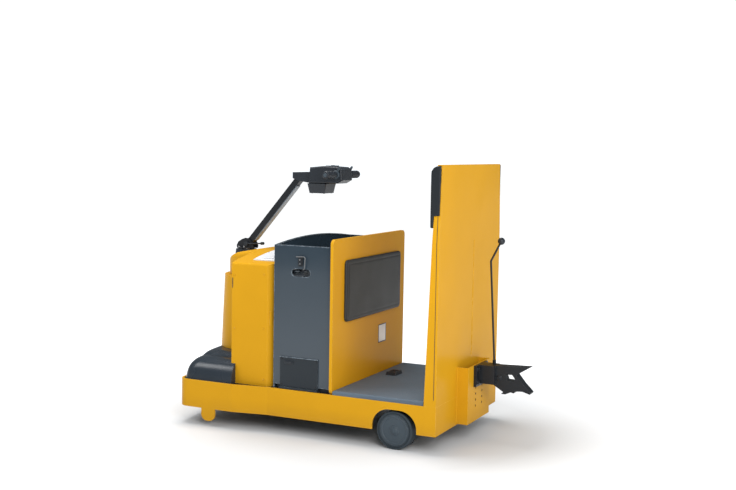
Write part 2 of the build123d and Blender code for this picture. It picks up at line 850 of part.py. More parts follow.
# Tiller arm: box tube with a round eye at the pivot
lean = radians(arm_lean_deg)
arm_plane = Plane(
    origin=(pivot_x, 0, tiller_pivot_z), x_dir=(cos(lean), 0, sin(lean)), z_dir=(-sin(lean), 0, cos(lean))
)
arm_top = (pivot_x - arm_length * sin(lean), tiller_pivot_z + arm_length * cos(lean))
with BuildPart() as arm:
    with BuildSketch(arm_plane.offset(arm_start)):
        Rectangle(arm_depth, arm_width)
        Rectangle(arm_depth - 2 * arm_wall, arm_width - 2 * arm_wall, mode=Mode.SUBTRACT)
    extrude(amount=arm_length - arm_start)
    with BuildSketch(Plane.XZ.offset(-arm_width / 2)):
        with Locations((pivot_x, tiller_pivot_z)):
            Circle(arm_depth / 2)
    extrude(amount=arm_width)
    with BuildSketch(Plane.XZ.offset(-arm_width / 2 - cut_over)):
        with Locations((pivot_x, tiller_pivot_z)):
            Circle(pin_radius + run_clear)
    extrude(amount=arm_width + 2 * cut_over, mode=Mode.SUBTRACT)
save(arm, "tiller_arm")

# Cable strip along the arm's lower face
with BuildPart() as arm_strip:
    with BuildSketch(arm_plane.offset(arm_strip_margin)):
        with Locations((-arm_depth / 2, 0)):
            Rectangle(arm_strip_thickness, arm_width - 2 * arm_wall, align=(Align.MAX, Align.CENTER))
    extrude(amount=arm_length - 2 * arm_strip_margin)
save(arm_strip, "arm_cable_strip")

# Tiller head: moulded body behind a narrower neck on the arm's top
head_front_x = arm_top[0] + head_overhang
head_top_z = arm_top[1] + head_above_arm
with BuildPart() as head_body:
    with BuildSketch(Plane.XZ.offset(-head_half)):
        with BuildLine():
            Polyline(
                *[(head_front_x - a * head_length, head_top_z - b * head_height) for a, b in head_shares],
                close=True,
            )
        make_face()
    extrude(amount=2 * head_half)
    side_faces = head_body.faces().sort_by(Axis.Y)
    fillet(side_faces[0].edges() + side_faces[-1].edges(), radius=head_edge_radius)
with BuildPart() as head:
    add(head_body.part)
    with BuildSketch(Plane.XZ.offset(-head_neck_half)):
        with BuildLine():
            Polyline(
                *[(head_front_x - a * head_length, head_top_z - b * head_height) for a, b in neck_shares],
                close=True,
            )
        make_face()
    extrude(amount=2 * head_neck_half)
    add(arm.part, mode=Mode.SUBTRACT)
save(head, "tiller_head")

# Crossbar through the head, with a grip at each end
bar_x = head_front_x - crossbar_from_front
bar_z = head_top_z - crossbar_drop
for side, hand in ((1, "left"), (-1, "right")):
    with BuildPart() as grip:
        with BuildSketch(Plane.XZ.offset(-side * head_half)):
            with Locations((bar_x, bar_z)):
                Circle(crossbar_radius)
        extrude(amount=-side * (crossbar_half - grip_length - head_half))
        with BuildSketch(Plane.XZ.offset(-side * (crossbar_half - grip_length))):
            with Locations((bar_x, bar_z)):
                Circle(grip_radius)
        extrude(amount=-side * grip_length)
        fillet(grip.faces().sort_by(Axis.Y)[-1 if side > 0 else 0].edges(), radius=grip_end_radius)
    save(grip, f"tiller_grip_{hand}")

# Control pod under the head
with BuildPart() as pod:
    pod_mid_x = head_front_x - pod_from_front - pod_length / 2
    pod_taper = degrees(atan2(pod_taper_share * pod_length, pod_depth))
    with BuildSketch(Plane.XY.offset(head_top_z - head_height)):
        with Locations((pod_mid_x, 0)):
            RectangleRounded(pod_length, pod_width, pod_edge_radius)
    extrude(amount=-pod_depth, taper=pod_taper)
save(pod, "control_pod")


def wheel_pair(prefix, center_x, inner_y, radius, width, tread, bore, bore_depth, side, hand):
    """Tyre and hub of one wheel, the hub's bore open on its inner face."""
    with BuildPart() as tyre:
        with BuildSketch(Plane.XZ.offset(-side * inner_y)):
            with Locations((center_x, radius)):
                Circle(radius)
                Circle(radius - tread, mode=Mode.SUBTRACT)
        extrude(amount=-side * width)
        fillet(tyre.edges().filter_by(GeomType.CIRCLE).sort_by(SortBy.RADIUS)[-2:], radius=tread_edge_radius)
        groove_radius = radius - tread_edge_radius - wheel_groove_width
        with BuildSketch(Plane.XZ.offset(-side * (inner_y + width))):
            with Locations((center_x, radius)):
                Circle(groove_radius)
                Circle(groove_radius - wheel_groove_width, mode=Mode.SUBTRACT)
        extrude(amount=side * wheel_groove_depth, mode=Mode.SUBTRACT)
    save(tyre, f"{prefix}_tyre{hand}")
    with BuildPart() as hub:
        with BuildSketch(Plane.XZ.offset(-side * inner_y)):
            with Locations((center_x, radius)):
                Circle(radius - tread)
        extrude(amount=-side * width)
        with BuildSketch(Plane.XZ.offset(-side * inner_y)):
            with Locations((center_x, radius)):
                Circle(bore + run_clear)
        extrude(amount=-side * bore_depth, mode=Mode.SUBTRACT)
    save(hub, f"{prefix}_hub{hand}")


for side, hand in ((1, "_left"), (-1, "_right")):
    wheel_pair(
        "load_wheel", wheel_x, wheel_inner_y, wheel_radius, wheel_width, tread_thickness,
        stub_radius, stub_depth + stub_end_gap, side, hand,
    )
wheel_pair(
    "drive_wheel", steer_x, -drive_width / 2, drive_radius, drive_width, drive_tread,
    drive_axle_radius, drive_axle_depth + stub_end_gap, 1, "",
)

# Load axle: beam across the machine with a stub for each wheel, and its hangers
with BuildPart() as axle:
    with BuildSketch(Plane.XZ.offset(-axle_half)):
        with Locations((wheel_x, wheel_radius)):
            Rectangle(axle_beam_size, axle_beam_size)
    extrude(amount=2 * axle_half)
    with BuildSketch(Plane.XZ.offset(-wheel_inner_y - stub_depth)):
        with Locations((wheel_x, wheel_radius)):
            Circle(stub_radius)
    extrude(amount=2 * (wheel_inner_y + stub_depth))
save(axle, "load_axle")

for side, hand in ((1, "left"), (-1, "right")):
    with BuildPart() as hanger:
        with BuildSketch(Plane.XZ.offset(-side * (axle_half - 2 * hanger_plate))):
            with Locations((wheel_x, skirt_top_z - platform_plate)):
                Rectangle(
                    hanger_length,
                    skirt_top_z - platform_plate - wheel_radius - axle_beam_size / 2,
                    align=(Align.CENTER, Align.MAX),
                )
        extrude(amount=side * hanger_plate)
    save(hanger, f"axle_hanger_{hand}")

# Backrest: hollow tapered column across the machine's back
with BuildPart() as column:
    with BuildSketch(Plane.XZ):
        with BuildLine():
            Polyline(
                (rear_x, skirt_top_z),
                (rear_x + backrest_depth_bottom, skirt_top_z),
                (rear_x + backrest_depth_top, backrest_top_z),
                (rear_x, backrest_top_z),
                close=True,
            )
        make_face()
    extrude(amount=half_width, both=True)
    with BuildSketch(Plane.YZ.offset(rear_x - cut_over)):
        with BuildLine():
            Polyline(
                (half_width, skirt_top_z),
                (half_width, backrest_taper_z),
                (backrest_top_half, backrest_top_z),
                (-backrest_top_half, backrest_top_z),
                (-half_width, backrest_taper_z),
                (-half_width, skirt_top_z),
                close=True,
            )
        make_face()
    extrude(amount=backrest_depth_bottom + 2 * cut_over, mode=Mode.INTERSECT)
column_solid = column.part
with BuildPart() as backrest:
    add(column_solid)
    offset(amount=-backrest_wall, openings=backrest.faces().sort_by(Axis.Z)[0])
    with BuildSketch(Plane.YZ.offset(rear_x)):
        with Locations((-groove_right_of_centre, (groove_bottom_z + groove_top_z) / 2)):
            Rectangle(groove_width, groove_top_z - groove_bottom_z)
    extrude(amount=groove_depth, mode=Mode.SUBTRACT)
save(backrest, "backrest_column")

# Back pad, wrapped over the column's front and both edges
with BuildPart() as back_pad:
    with BuildSketch(Plane.YZ.offset(rear_x + backpad_front_depth)):
        with Locations((0, pad_lip_bottom_z)):
            Rectangle(frame_width, backpad_top_z - pad_lip_bottom_z, align=(Align.CENTER, Align.MIN))
    extrude(amount=backpad_rear_margin - backpad_front_depth)
    fillet(back_pad.edges().group_by(Axis.Z)[-1].sort_by(Axis.X)[-1], radius=backpad_top_radius)
    with BuildSketch(Plane.YZ.offset(rear_x)):
        with Locations((0, pad_lip_bottom_z - cut_over)):
            Rectangle(
                frame_width + 2 * cut_over,
                pad_wrap_bottom_z - pad_lip_bottom_z + cut_over,
                align=(Align.CENTER, Align.MIN),
            )
    extrude(amount=backpad_rear_margin + backrest_depth_bottom / 2, mode=Mode.SUBTRACT)
    add(column_solid, mode=Mode.SUBTRACT)
save(back_pad, "backrest_pad")

# Coupler mount: channel on the skirt's rear face, open above and below, with a grid of hitch holes
with BuildPart() as mount:
    with BuildSketch(Plane.XY.offset(mount_bottom_z)):
        with Locations((rear_x, 0)):
            Rectangle(mount_depth, mount_width, align=(Align.MAX, Align.CENTER))
            Rectangle(
                mount_depth - mount_wall,
                mount_width - 2 * mount_wall,
                align=(Align.MAX, Align.CENTER),
                mode=Mode.SUBTRACT,
            )
    extrude(amount=mount_top_z - mount_bottom_z)
    with BuildSketch(Plane.YZ.offset(mount_rear_x - cut_over)):
        with Locations((0, bolt_lowest_z + (bolt_rows - 1) * bolt_spacing_z / 2)):
            with GridLocations(bolt_spacing_y, bolt_spacing_z, 2, bolt_rows):
                Circle(bolt_hole_radius)
    extrude(amount=mount_wall + 2 * cut_over, mode=Mode.SUBTRACT)
save(mount, "coupler_mount")

# Coupler: plate, box arm and cast jaw, the jaw's outline in shares of its reach and height
jaw_reach = plate_rear_x - coupler_tip_x
with BuildPart() as coupler:
    with BuildSketch(Plane.YZ.offset(plate_rear_x)):
        with Locations((0, (coupler_plate_bottom_z + coupler_plate_top_z) / 2)):
            Rectangle(2 * coupler_plate_half, coupler_plate_top_z - coupler_plate_bottom_z)
    extrude(amount=coupler_plate)
    with BuildSketch(Plane.YZ.offset(plate_rear_x)):
        with Locations((0, coupler_arm_z)):
            Rectangle(2 * coupler_arm_half, coupler_arm_height, align=(Align.CENTER, Align.MAX))
    extrude(amount=-coupler_arm_length)
    with BuildSketch(Plane.XZ):
        with BuildLine():
            Polyline(
                *[(plate_rear_x - a * jaw_reach, coupler_arm_z - b * jaw_height) for a, b in jaw_shares],
                close=True,
            )
        make_face()
        with BuildLine():
            Polyline(
                *[(plate_rear_x - a * jaw_reach, coupler_arm_z - b * jaw_height) for a, b in window_shares],
                close=True,
            )
        make_face(mode=Mode.SUBTRACT)
    extrude(amount=jaw_half, both=True)
save(coupler, "coupler_jaw")

# Release rod with its ball, standing on the coupler's arm
rod_foot = Vector(plate_rear_x - rod_foot_back, rod_y, coupler_arm_z)
rod_bend = Vector(plate_rear_x - rod_bend_back, rod_y, rod_bend_z)
rod_top = Vector(plate_rear_x - rod_top_back, rod_y, rod_top_z)
with BuildPart() as rod:
    with BuildLine():
        FilletPolyline(rod_foot, rod_bend, rod_top, radius=rod_bend_radius)
    with BuildSketch(Plane(origin=rod_foot, z_dir=rod_bend - rod_foot)):
        Circle(rod_radius)
    sweep()
    with BuildSketch(Plane.XY.offset(coupler_arm_z)):
        with Locations((rod_foot.X, rod_y)):
            Circle(rod_socket_radius)
    extrude(amount=rod_socket_height)
    with BuildSketch(Plane.XY.offset(coupler_arm_z)):
        with Locations((rod_foot.X, rod_y)):
            Circle(2 * rod_socket_radius)
    extrude(amount=-rod_socket_height, mode=Mode.SUBTRACT)
save(rod, "release_rod")

knob_plane = Plane(origin=rod_top, z_dir=rod_bend - rod_top)
with BuildPart(knob_plane) as knob:
    Sphere(knob_radius)
    with BuildSketch(knob_plane.offset(-seat_gap)):
        Circle(rod_radius + seat_gap)
    extrude(amount=2 * knob_radius, mode=Mode.SUBTRACT)
save(knob, "release_knob")
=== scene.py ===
"""Looks for the stand-on tow tractor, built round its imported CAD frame."""

import json
from contextlib import contextmanager
from math import cos, pi, radians, sin

import bmesh
import bpy
from mathutils import Matrix, Vector, noise


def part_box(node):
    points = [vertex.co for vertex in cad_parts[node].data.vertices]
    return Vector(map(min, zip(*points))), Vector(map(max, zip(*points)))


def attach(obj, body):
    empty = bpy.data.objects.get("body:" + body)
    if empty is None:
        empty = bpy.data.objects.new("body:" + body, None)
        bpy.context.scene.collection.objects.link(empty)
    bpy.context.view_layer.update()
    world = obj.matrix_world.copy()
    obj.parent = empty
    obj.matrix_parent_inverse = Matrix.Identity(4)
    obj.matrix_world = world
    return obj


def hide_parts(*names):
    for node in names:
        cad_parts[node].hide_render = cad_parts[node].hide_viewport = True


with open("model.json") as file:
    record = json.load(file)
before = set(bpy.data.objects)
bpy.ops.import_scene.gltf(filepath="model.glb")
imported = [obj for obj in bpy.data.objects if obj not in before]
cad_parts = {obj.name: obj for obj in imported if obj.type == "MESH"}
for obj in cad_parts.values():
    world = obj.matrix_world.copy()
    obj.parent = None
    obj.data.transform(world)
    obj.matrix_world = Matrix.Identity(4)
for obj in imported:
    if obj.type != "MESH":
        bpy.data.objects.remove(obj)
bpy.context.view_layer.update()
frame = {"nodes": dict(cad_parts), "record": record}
scene = bpy.context.scene
scene.view_settings.view_transform = "Standard"

SIDES = ((1, "left"), (-1, "right"))

# Camera, solved from the photograph: metres, radians and pixels
SENSOR_WIDTH = 36.0
FOCAL_PIXELS = 1118.98
PHOTO_WIDTH = 736
CAMERA_PLACE = (-2.4511, 5.1730, 1.4232)
CAMERA_YAW = -1.1274
CAMERA_PITCH = 0.0860
CAMERA_ROLL = -0.0165
CAMERA_REACH = 100.0


def add_object(name, data):
    made = bpy.data.objects.new(name, data)
    scene.collection.objects.link(made)
    return made


def make_camera():
    """Camera at the photograph's place, turned by yaw, then pitch down, then roll."""
    level = cos(CAMERA_PITCH)
    look = Vector((cos(CAMERA_YAW) * level, sin(CAMERA_YAW) * level, -sin(CAMERA_PITCH)))
    right = Vector((sin(CAMERA_YAW), -cos(CAMERA_YAW), 0.0))
    down = look.cross(right)
    side = right * cos(CAMERA_ROLL) + down * sin(CAMERA_ROLL)
    under = down * cos(CAMERA_ROLL) - right * sin(CAMERA_ROLL)
    data = bpy.data.cameras.new("photo_camera")
    data.sensor_width = SENSOR_WIDTH
    data.lens = FOCAL_PIXELS * SENSOR_WIDTH / PHOTO_WIDTH
    data.clip_end = CAMERA_REACH
    camera = add_object("photo_camera", data)
    turn = Matrix((side, -under, -look)).transposed().to_4x4()
    camera.matrix_world = Matrix.Translation(CAMERA_PLACE) @ turn
    scene.camera = camera


make_camera()


# Materials
EDGE_SAMPLES = 6
EDGE_SPAN = (0.86, 0.995)


class Tree:
    """Short ways to add nodes to a material or a world."""

    def __init__(self, owner, shader):
        owner.use_nodes = True
        self.owner = owner
        self.nodes = owner.node_tree.nodes
        self.links = owner.node_tree.links
        self.shader = self.nodes[shader]

    def node(self, kind, **inputs):
        made = self.nodes.new(kind)
        for key, value in inputs.items():
            self.feed(made.inputs[key], value)
        return made

    def feed(self, socket, value):
        """Links the socket to another one, or sets it to a constant."""
        if isinstance(value, bpy.types.NodeSocket):
            self.links.new(value, socket)
        else:
            socket.default_value = value

    def noise(self, place, scale, detail):
        made = self.node("ShaderNodeTexNoise", Vector=place, Scale=scale, Detail=detail)
        return made.outputs["Fac"]

    def spread(self, value, low, high, from_low=0.3, from_high=0.7):
        """The value mapped between spans and held at the ends; most noise is in the default one."""
        made = self.node("ShaderNodeMapRange", Value=value)
        made.inputs["From Min"].default_value = from_low
        made.inputs["From Max"].default_value = from_high
        made.inputs["To Min"].default_value = low
        made.inputs["To Max"].default_value = high
        return made.outputs["Result"]

    def math(self, operation, *values):
        made = self.nodes.new("ShaderNodeMath")
        made.operation = operation
        for socket, value in zip(made.inputs, values):
            self.feed(socket, value)
        return made.outputs["Value"]

    def mix(self, factor, first, second):
        """Mix of two colours, which a Mix node takes at sockets 6 and 7."""
        made = self.nodes.new("ShaderNodeMix")
        made.data_type = "RGBA"
        self.feed(made.inputs[0], factor)
        self.feed(made.inputs[6], first)
        self.feed(made.inputs[7], second)
        return made.outputs[2]

    def bump(self, height, distance, normal):
        made = self.node("ShaderNodeBump", Height=height, Distance=distance, Normal=normal)
        return made.outputs["Normal"]

    def edges(self, radius):
        """1 within the radius of a sharp edge and 0 on flat surface."""
        bevel = self.node("ShaderNodeBevel", Radius=radius)
        bevel.samples = EDGE_SAMPLES
        dot = self.nodes.new("ShaderNodeVectorMath")
        dot.operation = "DOT_PRODUCT"
        self.feed(dot.inputs[0], bevel.outputs["Normal"])
        self.feed(dot.inputs[1], self.node("ShaderNodeNewGeometry").outputs["Normal"])
        return self.spread(dot.outputs["Value"], 1.0, 0.0, *EDGE_SPAN)


def material_tree(name):
    """Tree of a new material, and the place on the object that its textures follow."""
    tree = Tree(bpy.data.materials.new(name), "Principled BSDF")
    return tree, tree.node("ShaderNodeTexCoord").outputs["Object"]


def shade(color, factor):
    return (*[min(1.0, c * factor) for c in color], 1.0)


# Noises that every finish shares: cycles per metre and detail
CLOUD = (3.5, 4.0)
SMEAR = (4.0, 3.0)
WEAR_AND_HIGHLIGHT_NOISE = (60.0, 6.0)
SWELL = (5.0, 2.0)
GRAIN_DETAIL = 2.0
# What their values become: lowest and highest result, and the span that they are read from
LOW_SHADE_SMEAR = (0.2, 1.0)
WEAR_AND_HIGHLIGHT_SPAN = (0.1, 1.0, 0.40, 0.60)
CELL_HEIGHT = (1.0, 0.0, 0.1, 0.6)
GLOSS_SPAN = (0.05, 0.95)
# Roughness runs from this much under the finish's value to this much over it
SMOOTHER, ROUGHER, LEAST_ROUGH = 0.08, 0.10, 0.03
COAT_ROUGH = 0.12


def surface(
    name,
    color,
    rough,
    metal=0.0,
    coat=0.0,
    gleam=0.5,
    vary=0.06,
    grain=900.0,
    grain_depth=0.00002,
    cells=None,
    cell_depth=0.0,
    wave=0.0,
    wear_and_highlight=None,
    wear_and_highlight_share=0.0,
    rim=0.003,
    round_edge=0.0015,
    low_shade=None,
):
    """Finished material: uneven colour and gloss, surface grain, soft edges, worn edges that on the
    paints are painted highlights.

    gleam is the shader's specular level, grain and cells are cycles per metre, and the depths,
    wave, rim and round_edge are metres. The darker colour low down is two heights and the colour,
    painted shade, that fades in from the higher one down to the lower.
    """
    tree, place = material_tree(name)
    cloud = tree.noise(place, *CLOUD)
    smear = tree.noise(place, *SMEAR)
    darker, lighter = shade(color, 1.0 - vary), shade(color, 1.0 + vary)
    body = tree.mix(tree.spread(cloud, 0.0, 1.0), darker, lighter)
    # Painted shade: a darker colour fades in towards the bottom, mottled by the smear noise.
    if low_shade:
        low_z, high_z, low_shade_color = low_shade
        height = tree.node("ShaderNodeSeparateXYZ", Vector=place).outputs["Z"]
        share = tree.spread(height, 1.0, 0.0, low_z, high_z)
        share = tree.math("MULTIPLY", share, tree.spread(smear, *LOW_SHADE_SMEAR))
        body = tree.mix(share, body, (*low_shade_color, 1.0))
    # Lighter colour on sharp edges, broken up by noise: worn finish, and on the yellow and grey
    # paints a painted edge highlight.
    if wear_and_highlight:
        wear_and_highlight_patches = tree.spread(tree.noise(place, *WEAR_AND_HIGHLIGHT_NOISE), *WEAR_AND_HIGHLIGHT_SPAN)
        mask = tree.math("MULTIPLY", tree.edges(rim), wear_and_highlight_patches)
        mask = tree.math("MULTIPLY", mask, wear_and_highlight_share)
        body = tree.mix(mask, body, (*wear_and_highlight, 1.0))
    smoothest, roughest = max(LEAST_ROUGH, rough - SMOOTHER), rough + ROUGHER
    tree.feed(tree.shader.inputs["Base Color"], body)
    gloss = tree.spread(smear, smoothest, roughest, *GLOSS_SPAN)
    tree.feed(tree.shader.inputs["Roughness"], gloss)
    tree.shader.inputs["Metallic"].default_value = metal
    tree.shader.inputs["Coat Weight"].default_value = coat
    tree.shader.inputs["Coat Roughness"].default_value = COAT_ROUGH
    tree.shader.inputs["Specular IOR Level"].default_value = gleam
    normal = tree.node("ShaderNodeBevel", Radius=round_edge).outputs["Normal"]
    if wave:
        normal = tree.bump(tree.noise(place, *SWELL), wave, normal)
    if cells:
        pattern = tree.node("ShaderNodeTexVoronoi", Vector=place, Scale=cells)
        height = tree.spread(pattern.outputs["Distance"], *CELL_HEIGHT)
        normal = tree.bump(height, cell_depth, normal)
    normal = tree.bump(tree.noise(place, grain, GRAIN_DETAIL), grain_depth, normal)
    tree.feed(tree.shader.inputs["Normal"], normal)
    return tree.owner


# One finish for each slot of the record, and the last three for pieces that differ from theirs
FINISHES = {
    "yellow_paint": dict(
        color=(0.530, 0.264, 0.010), rough=0.32, gleam=0.035, vary=0.03,
        # the cream edge colour is a painted highlight along the edges, broken up like wear
        grain=1500.0, grain_depth=0.00001, wear_and_highlight=(0.86, 0.62, 0.22), wear_and_highlight_share=0.3,
        # the darker colour below 0.16 m is painted shade near the floor
        low_shade=(0.02, 0.16, (0.36, 0.18, 0.02)),
    ),
    "grey_paint": dict(
        color=(0.024, 0.037, 0.050), rough=0.08, vary=0.05,
        # the light edge colour over a wide rim is a painted highlight along the edges, broken up
        # like wear
        grain=1500.0, grain_depth=0.000006, wear_and_highlight=(0.34, 0.40, 0.46), wear_and_highlight_share=0.75, rim=0.005,
    ),
    "dark_moulding": dict(
        color=(0.018, 0.025, 0.034), rough=0.27, vary=0.08,
        grain=2200.0, grain_depth=0.00003, wear_and_highlight=(0.10, 0.12, 0.14), wear_and_highlight_share=0.2,
        round_edge=0.003,
    ),
    "black_metal": dict(
        color=(0.008, 0.010, 0.013), rough=0.42, coat=0.05, gleam=0.3, vary=0.12,
        wear_and_highlight=(0.15, 0.15, 0.16), wear_and_highlight_share=0.3,
    ),
    "black_plastic": dict(
        color=(0.014, 0.018, 0.024), rough=0.40, gleam=0.35, vary=0.1,
        grain=2600.0, grain_depth=0.00004, wear_and_highlight=(0.08, 0.09, 0.10), wear_and_highlight_share=0.2,
        round_edge=0.002,
    ),
    "wheel_grey": dict(
        color=(0.040, 0.055, 0.068), rough=0.48, gleam=0.3, vary=0.12,
        wear_and_highlight=(0.12, 0.14, 0.16), wear_and_highlight_share=0.5,
    ),
    "tread": dict(
        color=(0.030, 0.041, 0.050), rough=0.62, gleam=0.25, vary=0.18,
        grain=700.0, grain_depth=0.00006, round_edge=0.003,
    ),
    "mat_rubber": dict(
        color=(0.084, 0.112, 0.142), rough=0.50, gleam=0.25, vary=0.12,
        cells=170.0, cell_depth=0.0012,
    ),
    "pad_vinyl": dict(
        color=(0.020, 0.023, 0.024), rough=0.50, gleam=0.35, vary=0.1,
        cells=900.0, cell_depth=0.00012, wave=0.0004,
    ),
    "bare_steel": dict(
        color=(0.46, 0.47, 0.48), rough=0.32, metal=1.0, vary=0.08, round_edge=0.0008,
    ),
    "cast_grey": dict(
        color=(0.11, 0.115, 0.12), rough=0.60, gleam=0.3, vary=0.2,
        grain=420.0, grain_depth=0.0002, wear_and_highlight=(0.32, 0.32, 0.32), wear_and_highlight_share=0.4,
    ),
    "display_grey": dict(
        color=(0.70, 0.70, 0.71), rough=0.30, coat=0.2, gleam=0.4, vary=0.03, grain=1800.0,
    ),
    "gate_grey": dict(
        color=(0.009, 0.014, 0.019), rough=0.30, gleam=0.3,
        # the lighter edge colour is a painted highlight on the gate's edges, broken up like wear
        grain=1500.0, grain_depth=0.000006, wear_and_highlight=(0.16, 0.19, 0.22), wear_and_highlight_share=0.6,
    ),
    # the arm strip's light grey is a painted highlight along the arm's lower edge
    "strip_highlight_grey": dict(color=(0.17, 0.20, 0.23), rough=0.30, grain=1800.0),
    "pad_black": dict(
        color=(0.007, 0.010, 0.013), rough=0.50, gleam=0.3, vary=0.1,
        cells=900.0, cell_depth=0.00012, wave=0.0004,
    ),
}
NODE_FINISHES = {
    "battery_gate_left": "gate_grey",
    "battery_gate_right": "gate_grey",
    "arm_cable_strip": "strip_highlight_grey",
}
materials = {name: surface(name, **finish) for name, finish in FINISHES.items()}
for part in frame["record"]["subparts"]:
    mesh = frame["nodes"][part["node"]].data
    mesh.materials.clear()
    mesh.materials.append(materials[NODE_FINISHES.get(part["node"], part["material_slot"])])

# Studio: sizes in metres, power in watts
FLOOR_BACK, FLOOR_FRONT = -30, 30
FLOOR_RIGHT, FLOOR_LEFT = -40, 7.4
FLOOR_TONES = ((0.61, 0.61, 0.61, 1.0), (0.63, 0.63, 0.63, 1.0))
FLOOR_NOISE = (0.8, 3.0)
FLOOR_ROUGH = 0.8
FLOOR_GLEAM = 0.2
GLOW = 0.7
GLOW_START, GLOW_FULL = 0.9, 2.0
WHITE = (1.0, 1.0, 1.0, 1.0)
SKY_COLOR = (0.91, 0.96, 1.0, 1.0)
SKY_STRENGTH = 0.6
SKY_CHANGES = (("Is Camera Ray", 0.6), ("Is Glossy Ray", -0.4))
LIGHTS = (
    # name, place, target, size, power
    ("key", (0.9, -0.2, 4.8), (0.0, 0.1, 0.1), 2.8, 190.0),
    ("glint", (2.9, 2.4, 3.0), (0.6, 0.3, 0.3), 1.3, 34.0),
    ("front", (-2.8, 4.0, 2.9), (0.0, 0.0, 0.7), 2.0, 130.0),
    ("fill", (-4.4, 2.6, 2.2), (0.0, 0.0, 0.6), 2.4, 95.0),
)


def make_floor():
    """Pale floor that glows away from the machine."""
    mesh = bpy.data.meshes.new("floor")
    corners = [
        (FLOOR_BACK, FLOOR_RIGHT, 0),
        (FLOOR_FRONT, FLOOR_RIGHT, 0),
        (FLOOR_FRONT, FLOOR_LEFT, 0),
        (FLOOR_BACK, FLOOR_LEFT, 0),
    ]
    mesh.from_pydata(corners, [], [(0, 1, 2, 3)])
    floor = add_object("floor", mesh)
    tree, place = material_tree("floor_white")
    tone = tree.mix(tree.spread(tree.noise(place, *FLOOR_NOISE), 0.0, 1.0), *FLOOR_TONES)
    away = tree.nodes.new("ShaderNodeVectorMath")
    away.operation = "LENGTH"
    tree.feed(away.inputs[0], place)
    # Painted light: the floor glows more from 0.9 m to 2 m out, which leaves a painted shadow round
    # the machine.
    glow = tree.spread(away.outputs["Value"], 0.0, GLOW, GLOW_START, GLOW_FULL)
    tree.feed(tree.shader.inputs["Base Color"], tone)
    tree.shader.inputs["Roughness"].default_value = FLOOR_ROUGH
    tree.shader.inputs["Specular IOR Level"].default_value = FLOOR_GLEAM
    tree.shader.inputs["Emission Color"].default_value = WHITE
    tree.feed(tree.shader.inputs["Emission Strength"], glow)
    floor.data.materials.append(tree.owner)


def make_world():
    """Cool white surroundings, brighter to the camera and dimmer in reflections."""
    world = bpy.data.worlds.new("studio_world")
    scene.world = world
    tree = Tree(world, "Background")
    rays = tree.node("ShaderNodeLightPath")
    strength = SKY_STRENGTH
    for ray, change in SKY_CHANGES:
        strength = tree.math("MULTIPLY_ADD", rays.outputs[ray], change, strength)
    tree.shader.inputs["Color"].default_value = SKY_COLOR
    tree.feed(tree.shader.inputs["Strength"], strength)


def make_lights():
    """Square soft boxes, each turned to its target."""
    for name, place, target, size, power in LIGHTS:
        data = bpy.data.lights.new(name, "AREA")
        data.shape = "SQUARE"
        data.size = size
        data.energy = power
        light = add_object(name, data)
        light.location = place
        turn = (Vector(target) - Vector(place)).to_track_quat("-Z", "Y")
        light.rotation_euler = turn.to_euler()


make_floor()
make_world()
make_lights()

# Geometry helpers. Every mesh is made in the row's frame, in metres.
SHARP_ANGLE = radians(32.0)
TUBE_RESOLUTION = 3
BLOCK_ROUNDING = 3
PRISM_ROUNDING = 2
CORNER_STEPS = 5


def fit_out(made, material, body):
    """Gives a new piece its material and the body that it rides on."""
    made.data.materials.append(materials[material])
    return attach(made, body)


@contextmanager
def solid(name, material, body):
    """Mesh to be filled in the with block, which then becomes a piece riding on a body."""
    bm = bmesh.new()
    yield bm
    bmesh.ops.recalc_face_normals(bm, faces=bm.faces)
    mesh = bpy.data.meshes.new(name)
    bm.to_mesh(mesh)
    bm.free()
    mesh.polygons.foreach_set("use_smooth", [True] * len(mesh.polygons))
    mesh.set_sharp_from_angle(angle=SHARP_ANGLE)
    fit_out(add_object(name, mesh), material, body)


def tube(name, points, radius, material, body):
    """Round bar or bead through the points."""
    curve = bpy.data.curves.new(name, "CURVE")
    curve.dimensions = "3D"
    curve.bevel_depth = radius
    curve.bevel_resolution = TUBE_RESOLUTION
    spline = curve.splines.new("POLY")
    spline.points.add(len(points) - 1)
    for target, point in zip(spline.points, points):
        target.co = (*point, 1.0)
    fit_out(add_object(name, curve), material, body)


def loft(bm, rings):
    """Closed solid through rings of as many corners each; returns its faces."""
    faces = []
    for low, high in zip(rings, rings[1:]):
        for i in range(len(low)):
            j = (i + 1) % len(low)
            faces.append(bm.faces.new((low[i], low[j], high[j], high[i])))
    return faces + [bm.faces.new(rings[0][::-1]), bm.faces.new(rings[-1])]


def round_edges(bm, faces, radius, segments):
    edges = {edge for face in faces for edge in face.edges}
    bmesh.ops.bevel(
        bm, geom=list(edges), offset=radius, segments=segments, affect="EDGES", profile=0.5
    )


def lathe(bm, profile, place, axis, segments):
    """Solid of revolution: profile is a list of (radius, height along the axis)."""
    turn = Matrix.Translation(place) @ Vector(axis).to_track_quat("Z", "Y").to_matrix().to_4x4()
    angles = [2 * pi * i / segments for i in range(segments)]
    rings = []
    for radius, height in profile:
        spots = [(radius * cos(angle), radius * sin(angle)) for angle in angles]
        if radius <= 0:
            spots = [(0, 0)]
        rings.append([bm.verts.new(turn @ Vector((*spot, height))) for spot in spots])
    for low, high in zip(rings, rings[1:]):
        for i in range(segments):
            j = (i + 1) % segments
            if len(low) == 1:
                bm.faces.new((low[0], high[i], high[j]))
            elif len(high) == 1:
                bm.faces.new((low[i], high[0], low[j]))
            else:
                bm.faces.new((low[i], high[i], high[j], low[j]))


